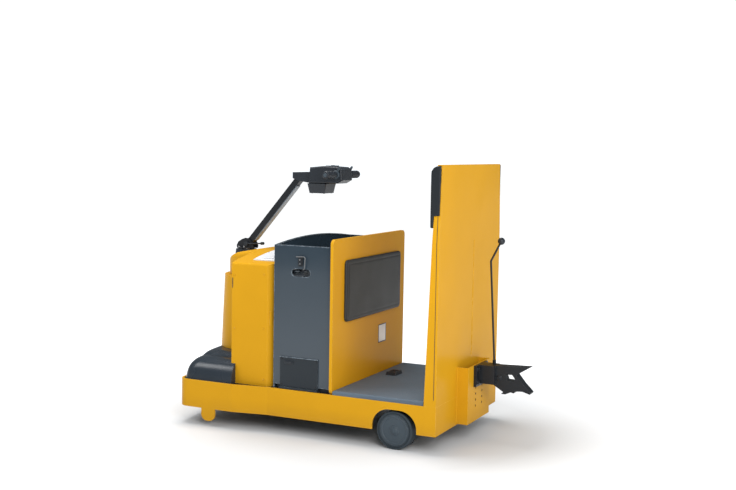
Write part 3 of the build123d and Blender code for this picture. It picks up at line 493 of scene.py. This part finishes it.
def block(bm, corner, opposite, rounding):
    """Box between two opposite corners with rounded edges."""
    low = Vector([min(pair) for pair in zip(corner, opposite)])
    high = Vector([max(pair) for pair in zip(corner, opposite)])
    verts = bmesh.ops.create_cube(bm, size=1.0)["verts"]
    for vert in verts:
        vert.co = [low[k] + (vert.co[k] + 0.5) * (high[k] - low[k]) for k in range(3)]
    faces = {face for vert in verts for face in vert.link_faces}
    round_edges(bm, faces, rounding, BLOCK_ROUNDING)


def prism(bm, outline, place, axis, up, depth, rounding):
    """Outline (across, along up) swept by depth along the axis, with rounded edges."""
    axis, up = Vector(axis).normalized(), Vector(up).normalized()
    across = up.cross(axis)
    base = [Vector(place) + across * a + up * b for a, b in outline]
    rings = [[bm.verts.new(point + axis * rise) for point in base] for rise in (0, depth)]
    round_edges(bm, loft(bm, rings), rounding, PRISM_ROUNDING)


def rounded(width, height, radius):
    """Outline of a rectangle with round corners about its middle."""
    points = []
    for k, (sx, sy) in enumerate(((1, 1), (-1, 1), (-1, -1), (1, -1))):
        mid_x, mid_y = sx * (width / 2 - radius), sy * (height / 2 - radius)
        for i in range(CORNER_STEPS + 1):
            angle = pi / 2 * (k + i / CORNER_STEPS)
            points.append((mid_x + radius * cos(angle), mid_y + radius * sin(angle)))
    return points


def circle(count, radius, turn=0.0):
    angles = [2 * pi * i / count + turn for i in range(count)]
    return [(radius * cos(angle), radius * sin(angle)) for angle in angles]


def hex_bolt(bm, place, axis, radius, height):
    """Hexagon head with a chamfered crown on a round washer."""
    seat = 0.22 * radius
    rim = 1.35 * radius
    crown = seat + height
    washer = [(0, 0), (rim, 0), (rim, 0.8 * seat), (rim - 0.2 * seat, seat), (0, seat)]
    head = [
        (0, seat), (radius, seat), (radius, seat + 0.85 * height), (0.86 * radius, crown),
        (0, crown),
    ]
    lathe(bm, washer, place, axis, segments=24)
    lathe(bm, head, place, axis, segments=6)


def socket_screw(bm, place, axis, radius, height):
    """Low domed screw with a round recess."""
    profile = [
        (0, 0), (radius, 0), (radius, 0.45 * height), (0.82 * radius, 0.85 * height),
        (0.55 * radius, height), (0.42 * radius, height), (0.40 * radius, 0.4 * height),
        (0, 0.4 * height),
    ]
    lathe(bm, profile, place, axis, segments=20)


# Soft pads. border is the width in y and in z over which the crown rises from the edge.
PADS = (
    dict(
        node="knee_pad", name="knee_cushion", finish="pad_vinyl", fill=0.9, voxel=0.0035,
        facing=-1, border=(0.03, 0.03), crown=0.0016, ripple=0.0006, ripple_scale=14.0,
        seam_inset=0.022, seam_half=0.0045, seam_depth=0.0016,
    ),
    dict(
        node="backrest_pad", name="back_cushion", finish="pad_black", fill=0.8, voxel=0.005,
        facing=1, border=(0.10, 0.05), crown=0.003, ripple=0.0008, ripple_scale=10.0,
        seam_inset=0.035, seam_half=0.005, seam_depth=0.002,
    ),
)
PAD_SMOOTHING = 6
# Least part of a normal along x on a pad's open face
PAD_FACE = 0.3


def body_of(node):
    for body, members in frame["record"]["behaviour"]["bodies"].items():
        if node in members:
            return body


def edge_share(value, low, high, border):
    """0 at either end of a span, rising to 1 a border's width inside it."""
    return max(0.0, min(1.0, (value - low) / border, (high - value) / border))


def remeshed(made, voxel):
    """The object's mesh, remeshed and smoothed."""
    remesh = made.modifiers.new("remesh", "REMESH")
    remesh.mode = "VOXEL"
    remesh.voxel_size = voxel
    smooth = made.modifiers.new("smooth", "SMOOTH")
    smooth.iterations = PAD_SMOOTHING
    smooth.factor = 0.5
    graph = bpy.context.evaluated_depsgraph_get()
    mesh = bpy.data.meshes.new_from_object(made.evaluated_get(graph))
    made.modifiers.clear()
    return mesh


def make_pad(
    node,
    name,
    finish,
    fill,
    voxel,
    facing,
    border,
    crown,
    ripple,
    ripple_scale,
    seam_inset,
    seam_half,
    seam_depth,
):
    """Cushion grown from a CAD node, crowned on its open face and pulled in at a seam."""
    low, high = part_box(node)
    made = add_object(name, frame["nodes"][node].data.copy())
    mesh = remeshed(made, voxel)
    mesh.name = name
    made.data = mesh
    for vert, normal in zip(mesh.vertices, [v.normal.copy() for v in mesh.vertices]):
        if facing * normal.x < PAD_FACE:
            continue
        x, y, z = vert.co
        share = edge_share(y, low.y, high.y, border[0]) * edge_share(z, low.z, high.z, border[1])
        swell = crown * share + ripple * noise.noise(vert.co * ripple_scale)
        inset = min(y - low.y, high.y - y, z - low.z, high.z - z)
        seam = seam_depth * max(0.0, 1.0 - abs(inset - seam_inset) / seam_half)
        vert.co.x = x + facing * (swell - seam)
    mesh.polygons.foreach_set("use_smooth", [True] * len(mesh.polygons))
    mesh.materials.clear()
    mesh.materials.append(materials[finish])
    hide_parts(node)
    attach(made, body_of(node))


for pad in PADS:
    make_pad(**pad)

# Label plate with nothing on it, in a thin dark border
LABEL_Y, LABEL_Z = -0.150, 0.4555
LABEL_OUTLINE = (0.094, 0.096, 0.005)
LABEL_THICK = 0.0006
LABEL_ROUNDING = 0.0002
BORDER_BARS = (
    # y, z, width, height
    (0, 0.046, 0.094, 0.005),
    (0, -0.046, 0.094, 0.005),
    (0.045, 0, 0.005, 0.088),
    (-0.045, 0, 0.005, 0.088),
)
BORDER_OUT, BORDER_IN = 0.0011, 0.0003
BORDER_ROUNDING = 0.0003


def make_label():
    middle = Vector((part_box("operator_panel")[0].x, LABEL_Y, LABEL_Z))
    with solid("label_plate", "display_grey", "root") as bm:
        prism(
            bm, rounded(*LABEL_OUTLINE), middle, (-1, 0, 0), (0, 0, 1), LABEL_THICK, LABEL_ROUNDING
        )
    with solid("label_border", "black_plastic", "root") as bm:
        for y, z, wide, high in BORDER_BARS:
            block(
                bm,
                middle + Vector((-BORDER_OUT, y - wide / 2, z - high / 2)),
                middle + Vector((-BORDER_IN, y + wide / 2, z + high / 2)),
                BORDER_ROUNDING,
            )


make_label()

# Backrest: thin black strip between the column's sides and its rear plate, painted shade for the
# fold there
COLUMN_HALF = 0.425
COLUMN_TOP_HALF = 0.405
COLUMN_BEND_Z = 1.000
COLUMN_TOP_Z = 1.354
SHADE_STRIP_LOW_Z, SHADE_STRIP_HIGH_Z = 0.264, 1.117
SHADE_STRIP_SECTION = (
    # forward of the rear face, out from the side
    (0.0110, -0.0006),
    (0.0110, 0.0005),
    (0.0116, 0.0010),
    (0.0130, 0.0010),
    (0.0136, 0.0005),
    (0.0136, -0.0006),
)


def column_half(z):
    """Half the column's width, which narrows above the bend."""
    lean = (COLUMN_HALF - COLUMN_TOP_HALF) / (COLUMN_TOP_Z - COLUMN_BEND_Z)
    return COLUMN_HALF - lean * max(0.0, z - COLUMN_BEND_Z)


# The black strip is painted shade standing in for the shadow of the fold.
def make_column_shade_strips():
    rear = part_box("backrest_column")[0].x
    for side, hand in SIDES:
        with solid(f"column_shade_strip_{hand}", "black_plastic", "root") as bm:
            rings = [
                [bm.verts.new((rear + x, side * (column_half(z) + y), z)) for x, y in SHADE_STRIP_SECTION]
                for z in (SHADE_STRIP_LOW_Z, COLUMN_BEND_Z, SHADE_STRIP_HIGH_Z)
            ]
            loft(bm, rings)


make_column_shade_strips()

# Battery bay: latch hooks over the lift slots, their screws, and the gates' handles and folds
HOOK_RADIUS = 0.0028
HOOK_HEAD = (
    # x from the latch's middle, out from its face, z from its top
    (0.022, 0.0028, -0.004),
    (-0.020, 0.0028, -0.002),
    (-0.028, 0.0034, -0.008),
)
HOOK_TAIL = (
    # x from the latch's middle, out from its face, z from its bottom
    (-0.026, 0.0048, 0.008),
    (-0.024, 0.0030, -0.010),
    (-0.018, 0.0010, -0.015),
)
LATCH_SCREW = (0.0045, 0.003)
LATCH_SCREW_X = 0.003
LATCH_SCREW_UP, LATCH_SCREW_DOWN = 0.012, 0.018
GATE_FACE = 0.410
GATE_SCREW = (0.0042, 0.0028)
GATE_SCREW_IN = 0.012
GATE_SCREW_UP, GATE_SCREW_DOWN = 0.022, 0.012
HANDLE_IN = 0.050
HANDLE_STEP = 0.0035
HANDLE_PLATES = (
    # outline, drop from the gate's top, rounding
    ((0.050, 0.020, 0.006), 0.026, 0.0012),
    ((0.036, 0.009, 0.003), 0.028, 0.0014),
)
FOLD_HEIGHT = 0.0030
FOLD_DEPTH = 0.0016
FOLD_ROUNDING = 0.0006


def make_latch_fittings(side, hand):
    low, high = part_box(f"battery_latch_{hand}")
    out = high.y if side > 0 else low.y
    mid = (low.x + high.x) / 2
    bar = [
        (mid + x, out + side * y, start + z)
        for start, bends in ((high.z, HOOK_HEAD), (low.z, HOOK_TAIL))
        for x, y, z in bends
    ]
    tube(f"latch_hook_{hand}", bar, HOOK_RADIUS, "cast_grey", "root")
    with solid(f"latch_screws_{hand}", "cast_grey", "root") as bm:
        for z in (low.z + LATCH_SCREW_UP, high.z - LATCH_SCREW_DOWN):
            socket_screw(bm, (mid + LATCH_SCREW_X, out, z), (0, side, 0), *LATCH_SCREW)


def make_gate_fittings(side, hand):
    low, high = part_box(f"battery_gate_{hand}")
    face = side * GATE_FACE
    outward = (0, side, 0)
    with solid(f"gate_handle_{hand}", "black_plastic", "root") as bm:
        for step, (outline, drop, rounding) in enumerate(HANDLE_PLATES):
            place = (high.x - HANDLE_IN, face + side * step * HANDLE_STEP, high.z - drop)
            prism(bm, rounded(*outline), place, outward, (0, 0, 1), HANDLE_STEP, rounding)
    with solid(f"gate_screws_{hand}", "black_metal", "root") as bm:
        for x in (low.x + GATE_SCREW_IN, high.x - GATE_SCREW_IN):
            for z in (low.z + GATE_SCREW_UP, high.z - GATE_SCREW_DOWN):
                socket_screw(bm, (x, face, z), outward, *GATE_SCREW)
    with solid(f"gate_fold_{hand}", "grey_paint", "root") as bm:
        block(
            bm,
            (low.x, face, high.z - FOLD_HEIGHT),
            (high.x, face + side * FOLD_DEPTH, high.z),
            FOLD_ROUNDING,
        )


for side, hand in SIDES:
    make_latch_fittings(side, hand)
    make_gate_fittings(side, hand)

# Battery: lids of twelve cells with vent caps, posts and lead links
CELL_ROWS, CELL_COLUMNS = 6, 2
LID_GAP = 0.003
LID_SUNK, LID_RISE = 0.004, 0.006
LID_ROUNDING = 0.003
CAP_PROFILE = [
    (0, 0), (0.019, 0), (0.019, 0.004), (0.016, 0.005), (0.015, 0.013), (0.012, 0.015), (0, 0.015),
]
POST_PROFILE = [(0, 0), (0.012, 0), (0.010, 0.006), (0.009, 0.014), (0, 0.014)]
POST_SHARE = 0.32
LINK_HALF = 0.010
LINK_REACH = 0.012
LINK_LOW, LINK_HIGH = 0.018, 0.023
LINK_ROUNDING = 0.0015


def make_cells():
    low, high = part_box("battery")
    wide = (high.x - low.x) / CELL_COLUMNS
    long = (high.y - low.y) / CELL_ROWS
    top = high.z
    lid_x, lid_y = wide / 2 - LID_GAP, long / 2 - LID_GAP
    with (
        solid("cell_links", "cast_grey", "root") as links,
        solid("cell_posts", "cast_grey", "root") as posts,
        solid("cell_caps", "wheel_grey", "root") as caps,
        solid("cell_lids", "black_plastic", "root") as lids,
    ):
        for i in range(CELL_COLUMNS):
            for j in range(CELL_ROWS):
                x = low.x + (i + 0.5) * wide
                y = low.y + (j + 0.5) * long
                block(
                    lids,
                    (x - lid_x, y - lid_y, top - LID_SUNK),
                    (x + lid_x, y + lid_y, top + LID_RISE),
                    LID_ROUNDING,
                )
                lathe(caps, CAP_PROFILE, (x, y, top + LID_RISE), (0, 0, 1), segments=24)
                for step in (-1, 1):
                    post_x = x + step * wide * POST_SHARE
                    lathe(posts, POST_PROFILE, (post_x, y, top + LID_RISE), (0, 0, 1), segments=20)
                if j < CELL_ROWS - 1:
                    step = 1 if (i + j) % 2 else -1
                    post_x = x + step * wide * POST_SHARE
                    block(
                        links,
                        (post_x - LINK_HALF, y - LINK_REACH, top + LINK_LOW),
                        (post_x + LINK_HALF, y + long + LINK_REACH, top + LINK_HIGH),
                        LINK_ROUNDING,
                    )


make_cells()

# Display panel: plates that follow the arch of the roof
ARCH_HALF = 0.400
ARCH_RISE = 0.049
ARCH_TOP = 0.894
ARCH_RADIUS = (ARCH_HALF ** 2 + ARCH_RISE ** 2) / (2 * ARCH_RISE)
DISPLAY_MARGIN = 0.012
DISPLAY_PLATES = {
    # piece: rows of rear and front margins in x, span in y, thickness, corner radius and lift
    "display_bezel": (
        (0.0, 0.020, (0.205, 0.325), 0.004, 0.010, 0.0),
        (0.004, 0.030, (0.085, 0.180), 0.002, 0.008, 0.0),
    ),
    "display_glass": ((0.018, 0.034, (0.222, 0.308), 0.0012, 0.004, 0.0038),),
}
KEY_ROWS = 4
KEY_FIRST_Y, KEY_STEP_Y = 0.098, 0.0225
KEY_HALF = 0.007
KEY_COLUMNS = ((0.016, 0.032), (0.044, 0.060))
KEY_SHAPE = (0.0035, 0.003, 0.0018)
LOCK_IN, LOCK_Y = 0.014, 0.110
LOCK_PROFILE = [
    (0, 0), (0.0125, 0), (0.0125, 0.004), (0.0115, 0.007), (0.0070, 0.008), (0.0070, 0.0055),
    (0, 0.0055),
]
KEYHOLE_LOW, KEYHOLE_HIGH = (-0.0045, -0.0008, 0.004), (0.0045, 0.0008, 0.0075)
KEYHOLE_ROUNDING = 0.0003
DISPLAY_SCREW = (0.0036, 0.0020)
DISPLAY_SCREW_IN = 0.006
DISPLAY_SCREW_Y = (0.068, 0.200, 0.336)


def roof_point(x, y, lift):
    """Point over the arch, lifted along its radius."""
    radius = ARCH_RADIUS + lift
    across = y * radius / ARCH_RADIUS
    return Vector((x, across, ARCH_TOP - ARCH_RADIUS + (radius ** 2 - across ** 2) ** 0.5))


def roof_axis(y):
    return Vector((0, y / ARCH_RADIUS, (1 - (y / ARCH_RADIUS) ** 2) ** 0.5))


def roof_plate(bm, x_span, y_span, thick, radius, lift):
    """Plate with round corners that lies on the arched roof."""
    long, wide = x_span[1] - x_span[0], y_span[1] - y_span[0]
    mid_x, mid_y = sum(x_span) / 2, sum(y_span) / 2
    outline = rounded(long, wide, radius)
    edge = 0.3 * thick
    rings = []
    for shrink, height in ((0, 0), (0, thick - edge), (edge, thick)):
        share_x, share_y = 1 - 2 * shrink / long, 1 - 2 * shrink / wide
        rings.append(
            [
                bm.verts.new(roof_point(mid_x + a * share_x, mid_y + b * share_y, lift + height))
                for a, b in outline
            ]
        )
    loft(bm, rings)


def make_display():
    low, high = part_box("display_panel")
    rear, front = low.x + DISPLAY_MARGIN, high.x - DISPLAY_MARGIN
    for name, plates in DISPLAY_PLATES.items():
        with solid(name, "display_grey", "root") as bm:
            for rear_in, front_in, y_span, *shape in plates:
                roof_plate(bm, (rear + rear_in, front - front_in), y_span, *shape)
    with solid("display_keys", "wheel_grey", "root") as bm:
        for row in range(KEY_ROWS):
            y = KEY_FIRST_Y + row * KEY_STEP_Y
            for start, end in KEY_COLUMNS:
                x_span, y_span = (rear + start, rear + end), (y - KEY_HALF, y + KEY_HALF)
                roof_plate(bm, x_span, y_span, *KEY_SHAPE)
    with solid("key_switch", "bare_steel", "root") as bm:
        place = roof_point(front - LOCK_IN, LOCK_Y, 0.0)
        lathe(bm, LOCK_PROFILE, place, roof_axis(LOCK_Y), segments=28)
        block(
            bm, place + Vector(KEYHOLE_LOW), place + Vector(KEYHOLE_HIGH), KEYHOLE_ROUNDING
        )
    with solid("display_screws", "bare_steel", "root") as bm:
        for x in (low.x + DISPLAY_SCREW_IN, high.x - DISPLAY_SCREW_IN):
            for y in DISPLAY_SCREW_Y:
                socket_screw(bm, roof_point(x, y, 0.0), roof_axis(y), *DISPLAY_SCREW)


make_display()

# Housing: louvre strips, chamfer tabs, screws, and the beads beside the front cover
LOUVRE_X, LOUVRE_Z = (0.5655, 0.5695), (0.713, 0.764)
LOUVRE_SUNK, LOUVRE_PROUD = 0.001, 0.0012
LOUVRE_ROUNDING = 0.0005
TAB_OUTLINE = (0.014, 0.070, 0.003)
TAB_X, TAB_Y, TAB_Z = 0.352, 0.3885, 0.573
TAB_THICK, TAB_ROUNDING = 0.0035, 0.0010
WALL_SCREW = (0.0052, 0.0028)
WALL_SCREW_Z = (0.262, 0.520, 0.790)
WALL_SCREW_REAR_X, WALL_SCREW_FRONT_X = 0.384, 0.556
WALL_SCREW_DROP = 0.012
COVER_TOP_Z = 0.745
COVER_TOP_HALF = 0.225
COVER_TAPER = 0.0435
COVER_SCREW = (0.0052, 0.0030)
COVER_SCREW_X, COVER_SCREW_SUNK = 0.586, 0.0006
COVER_SCREW_Z = (0.300, 0.430, 0.560, 0.690)
BEAD_RADIUS = 0.0014
BEAD_X, BEAD_OUT = 0.5733, 0.001
BEAD_Z = (0.350, 0.480, 0.610, 0.744)


def cover_half(z):
    """Half the front cover's width, which grows downward."""
    return COVER_TOP_HALF + (COVER_TOP_Z - z) * COVER_TAPER


def make_housing_fittings():
    housing_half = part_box("drive_housing")[1].y
    for side, hand in SIDES:
        wall = side * housing_half
        with solid(f"housing_louvre_{hand}", "black_plastic", "root") as bm:
            block(
                bm,
                (LOUVRE_X[0], wall - side * LOUVRE_SUNK, LOUVRE_Z[0]),
                (LOUVRE_X[1], wall + side * LOUVRE_PROUD, LOUVRE_Z[1]),
                LOUVRE_ROUNDING,
            )
        with solid(f"housing_tab_{hand}", "yellow_paint", "root") as bm:
            place = (TAB_X, side * TAB_Y, TAB_Z)
            prism(
                bm, rounded(*TAB_OUTLINE), place, (-1, side, 0), (0, 0, 1), TAB_THICK, TAB_ROUNDING
            )
        with solid(f"housing_screws_{hand}", "yellow_paint", "root") as bm:
            for z in WALL_SCREW_Z:
                socket_screw(bm, (WALL_SCREW_REAR_X, wall, z), (0, side, 0), *WALL_SCREW)
                place = (WALL_SCREW_FRONT_X, wall, z - WALL_SCREW_DROP)
                socket_screw(bm, place, (0, side, 0), *WALL_SCREW)
            for z in COVER_SCREW_Z:
                place = (COVER_SCREW_X, side * (cover_half(z) - COVER_SCREW_SUNK), z)
                socket_screw(bm, place, (0, side, COVER_TAPER), *COVER_SCREW)
        bead = [(BEAD_X, side * (cover_half(z) + BEAD_OUT), z) for z in BEAD_Z]
        tube(f"cover_bead_{hand}", bead, BEAD_RADIUS, "yellow_paint", "root")


make_housing_fittings()

# Coupler: plate bolts, black nuts behind the free holes that paint shade into them, cross pin and
# weld beads
COUPLER_PLATE = 0.014
COUPLER_BOLT = (0.0095, 0.0075)
COUPLER_BOLT_Y, COUPLER_BOLT_Z = (-0.062, 0.062), (0.292, 0.356)
FREE_ROWS = 4
GRID_HALF = 0.045
GRID_LOW_Z, GRID_STEP_Z = 0.172, 0.030
SHADE_NUT_PROFILE = [
    (0, 0.016), (0.0058, 0.016), (0.0058, 0.0008), (0.0064, 0.0008), (0.0064, 0.0081),
    (0.011, 0.0081), (0.011, 0.018), (0, 0.018),
]
CROSS_PIN_PROFILE = [
    (0, 0), (0.013, 0), (0.013, 0.003), (0.009, 0.0045), (0.009, 0.010), (0.0075, 0.0115),
    (0, 0.0115),
]
CROSS_PIN_X, CROSS_PIN_Y, CROSS_PIN_Z = -0.728, 0.026, 0.318
WELD_SUNK = 0.0005
ARM_WELD_RADIUS, ARM_WELD_HALF = 0.0030, 0.0425
ARM_WELD_HIGH_Z, ARM_WELD_LOW_Z = 0.3755, 0.2835
MOUNT_WELD_RADIUS = 0.0028
MOUNT_WELD_Z = (0.19, 0.28)


def make_coupler_fittings():
    low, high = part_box("coupler_mount")
    face = low.x - COUPLER_PLATE
    with solid("coupler_bolts", "black_metal", "root") as bm:
        for y in COUPLER_BOLT_Y:
            for z in COUPLER_BOLT_Z:
                hex_bolt(bm, (face, y, z), (-1, 0, 0), *COUPLER_BOLT)
    # The black nuts close the free holes from behind: painted shade that makes the holes read dark.
    with solid("hitch_hole_shade_nuts", "black_metal", "root") as bm:
        for row in range(FREE_ROWS):
            for side, _ in SIDES:
                place = (low.x, side * GRID_HALF, GRID_LOW_Z + GRID_STEP_Z * row)
                lathe(bm, SHADE_NUT_PROFILE, place, (1, 0, 0), segments=24)
    with solid("coupler_cross_pin", "black_metal", "root") as bm:
        for side, _ in SIDES:
            place = (CROSS_PIN_X, side * CROSS_PIN_Y, CROSS_PIN_Z)
            lathe(bm, CROSS_PIN_PROFILE, place, (0, side, 0), segments=28)
    x = face - WELD_SUNK
    arm = [
        (x, ARM_WELD_HALF, ARM_WELD_HIGH_Z),
        (x, ARM_WELD_HALF, ARM_WELD_LOW_Z),
        (x, -ARM_WELD_HALF, ARM_WELD_LOW_Z),
        (x, -ARM_WELD_HALF, ARM_WELD_HIGH_Z),
    ]
    tube("coupler_weld", arm, ARM_WELD_RADIUS, "black_metal", "root")
    for side, hand in SIDES:
        x, y = high.x - WELD_SUNK, side * (high.y + WELD_SUNK)
        line = [(x, y, z) for z in (low.z, *MOUNT_WELD_Z, high.z)]
        tube(f"mount_weld_{hand}", line, MOUNT_WELD_RADIUS, "yellow_paint", "root")


make_coupler_fittings()

# Wheels: caps and rings on the load wheels, bolts and caps on the drive wheel and gearbox
WHEEL_CAP_PROFILE = [
    (0, 0.0062), (0.012, 0.0062), (0.0150, 0.0050), (0.0165, 0.0030), (0.0225, 0.0024),
    (0.0245, 0.0), (0, 0.0),
]
WHEEL_RING_PROFILE = [
    (0.060, 0), (0.0620, 0.0016), (0.0665, 0.0022), (0.0695, 0.0014), (0.0705, 0), (0.060, 0),
]
DRIVE_AXLE_Z = 0.110
DRIVE_BOLT = (0.0075, 0.0060)
DRIVE_BOLTS = (6, 0.052)
DRIVE_CAP_PROFILE = [(0, 0), (0.030, 0), (0.030, 0.003), (0.026, 0.006), (0, 0.006)]
GEARBOX_BOLT = (0.0055, 0.0045)
GEARBOX_BOLTS = (6, 0.046, 0.26)
GEARBOX_CAP_PROFILE = [(0, 0), (0.024, 0), (0.024, 0.004), (0.020, 0.007), (0, 0.007)]


def make_wheel_fittings():
    for side, hand in SIDES:
        low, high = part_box(f"load_wheel_hub_{hand}")
        out = high.y if side > 0 else low.y
        middle = ((low.x + high.x) / 2, out, (low.z + high.z) / 2)
        with solid(f"wheel_cap_{hand}", "wheel_grey", f"load_wheel_{hand}") as bm:
            lathe(bm, WHEEL_CAP_PROFILE, middle, (0, side, 0), segments=40)
            lathe(bm, WHEEL_RING_PROFILE, middle, (0, side, 0), segments=64)
    drum_low, drum_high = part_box("drive_wheel_tyre")
    mid_x, out = (drum_low.x + drum_high.x) / 2, drum_high.y
    with solid("drive_wheel_nuts", "bare_steel", "drive_wheel") as bm:
        for a, b in circle(*DRIVE_BOLTS):
            hex_bolt(bm, (mid_x + a, out, DRIVE_AXLE_Z + b), (0, 1, 0), *DRIVE_BOLT)
        lathe(bm, DRIVE_CAP_PROFILE, (mid_x, out, DRIVE_AXLE_Z), (0, 1, 0), segments=40)
    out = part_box("drive_gearbox")[0].y
    with solid("gearbox_bolts", "bare_steel", "steering") as bm:
        for a, b in circle(*GEARBOX_BOLTS):
            hex_bolt(bm, (mid_x + a, out, DRIVE_AXLE_Z + b), (0, -1, 0), *GEARBOX_BOLT)
        lathe(bm, GEARBOX_CAP_PROFILE, (mid_x, out, DRIVE_AXLE_Z), (0, -1, 0), segments=36)


make_wheel_fittings()

# Tiller: pivot nut, base bolts, controls on the head, ribs and ends of the grips, pod screws
PIVOT_NUT = (0.0115, 0.0080)
BASE_BOLT = (0.0048, 0.0040)
BASE_BOLT_AHEAD = (0.014, 0.044)
BASE_BOLT_Y, BASE_BOLT_Z = 0.0345, 0.883
BAR_BEHIND, BAR_BELOW = 0.273, 0.044
PADDLE_RING_Y, PADDLE_Y = 0.0625, 0.0645
PADDLE_RING_PROFILE = [
    (0.0145, 0), (0.0215, 0.0015), (0.0225, 0.003), (0.0225, 0.012), (0.0210, 0.0138),
    (0.0145, 0.0145), (0.0145, 0),
]
PADDLE_OUTLINE = [
    (-0.006, 0.018), (0.006, 0.018), (0.005, 0.046), (0.003, 0.050), (-0.003, 0.050),
    (-0.005, 0.046),
]
PADDLE_UP = (-0.5, 0, 0.85)
PADDLE_THICK, PADDLE_ROUNDING = 0.010, 0.0012
GRIP_RIBS = 9
GRIP_RIB_IN, GRIP_RIB_STEP = 0.014, 0.0088
GRIP_RIB_PROFILE = [
    (0.0186, -0.0012), (0.0198, -0.0008), (0.0202, 0), (0.0198, 0.0008), (0.0186, 0.0012),
    (0.0186, -0.0012),
]
GRIP_END_PROFILE = [
    (0, 0.0022), (0.0060, 0.0018), (0.0095, 0.0006), (0.0100, -0.0004), (0, -0.0004),
]
HORN_PROFILE = [
    (0, 0.0050), (0.008, 0.0046), (0.0105, 0.0034), (0.0115, 0.0010), (0.0115, 0),
    (0.0150, -0.0006), (0.0155, -0.003), (0, -0.003),
]
HORN_X = 0.085
ROCKER_X, ROCKER_Y, ROCKER_HALF = (0.070, 0.104), (-0.036, 0.036), 0.008
ROCKER_SUNK, ROCKER_PROUD, ROCKER_ROUNDING = 0.002, 0.0025, 0.0012
POD_SCREW = (0.0045, 0.0022)
POD_SCREW_IN, POD_SCREW_Y = 0.020, (-0.040, 0.040)


def make_pivot_fittings():
    low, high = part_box("tiller_pivot_pin")
    mid_x, mid_z = (low.x + high.x) / 2, (low.z + high.z) / 2
    with solid("pivot_nut", "bare_steel", "steering") as bm:
        hex_bolt(bm, (mid_x, low.y, mid_z), (0, -1, 0), *PIVOT_NUT)
    with solid("tiller_base_bolts", "bare_steel", "steering") as bm:
        for ahead in BASE_BOLT_AHEAD:
            for side, _ in SIDES:
                place = (mid_x + ahead, side * BASE_BOLT_Y, BASE_BOLT_Z)
                hex_bolt(bm, place, (0, 0, 1), *BASE_BOLT)


def make_grip_fittings(bar_x, bar_z):
    for side, hand in SIDES:
        low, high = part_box(f"tiller_grip_{hand}")
        end = high.y if side > 0 else low.y
        outward = (0, side, 0)
        with solid(f"thumb_paddle_{hand}", "wheel_grey", "tiller") as bm:
            place = (bar_x, side * PADDLE_RING_Y, bar_z)
            lathe(bm, PADDLE_RING_PROFILE, place, outward, segments=18)
            place = (bar_x, side * PADDLE_Y, bar_z)
            prism(bm, PADDLE_OUTLINE, place, outward, PADDLE_UP, PADDLE_THICK, PADDLE_ROUNDING)
        with solid(f"grip_ribs_{hand}", "black_plastic", "tiller") as bm:
            for i in range(GRIP_RIBS):
                y = end - side * (GRIP_RIB_IN + i * GRIP_RIB_STEP)
                lathe(bm, GRIP_RIB_PROFILE, (bar_x, y, bar_z), outward, segments=36)
        with solid(f"grip_end_{hand}", "wheel_grey", "tiller") as bm:
            lathe(bm, GRIP_END_PROFILE, (bar_x, end, bar_z), outward, segments=32)


def make_head_fittings(low, high):
    with solid("horn_button", "wheel_grey", "tiller") as bm:
        lathe(bm, HORN_PROFILE, (low.x + HORN_X, 0, high.z), (0, 0, 1), segments=36)
    with solid("head_rockers", "wheel_grey", "tiller") as bm:
        for y in ROCKER_Y:
            block(
                bm,
                (low.x + ROCKER_X[0], y - ROCKER_HALF, high.z - ROCKER_SUNK),
                (low.x + ROCKER_X[1], y + ROCKER_HALF, high.z + ROCKER_PROUD),
                ROCKER_ROUNDING,
            )


def make_pod_screws():
    low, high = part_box("control_pod")
    with solid("pod_screws", "bare_steel", "tiller") as bm:
        for x in (low.x + POD_SCREW_IN, high.x - POD_SCREW_IN):
            for y in POD_SCREW_Y:
                socket_screw(bm, (x, y, low.z), (0, 0, -1), *POD_SCREW)


head_low, head_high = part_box("tiller_head")
make_pivot_fittings()
make_grip_fittings(head_high.x - BAR_BEHIND, head_high.z - BAR_BELOW)
make_head_fittings(head_low, head_high)
make_pod_screws()

# Foot switch ribs and the bolts of the axle hangers
PEDAL_RIBS = 5
PEDAL_RIB_FIRST, PEDAL_RIB_STEP, PEDAL_RIB_HALF = 0.022, 0.0115, 0.0018
PEDAL_RIB_IN = 0.012
PEDAL_RIB_SUNK, PEDAL_RIB_PROUD, PEDAL_RIB_ROUNDING = 0.001, 0.0015, 0.0006
HANGER_BOLT = (0.0065, 0.0050)
HANGER_BOLT_IN, HANGER_BOLT_Z = 0.018, (0.135, 0.200)


def make_floor_fittings():
    low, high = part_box("foot_pedal")
    with solid("pedal_ribs", "black_plastic", "root") as bm:
        for i in range(PEDAL_RIBS):
            y = low.y + PEDAL_RIB_FIRST + i * PEDAL_RIB_STEP
            block(
                bm,
                (low.x + PEDAL_RIB_IN, y - PEDAL_RIB_HALF, high.z - PEDAL_RIB_SUNK),
                (high.x - PEDAL_RIB_IN, y + PEDAL_RIB_HALF, high.z + PEDAL_RIB_PROUD),
                PEDAL_RIB_ROUNDING,
            )
    with solid("hanger_bolts", "bare_steel", "root") as bm:
        for side, hand in SIDES:
            low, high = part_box(f"axle_hanger_{hand}")
            face = low.y if side > 0 else high.y
            for x in (low.x + HANGER_BOLT_IN, high.x - HANGER_BOLT_IN):
                for z in HANGER_BOLT_Z:
                    hex_bolt(bm, (x, face, z), (0, -side, 0), *HANGER_BOLT)


make_floor_fittings()
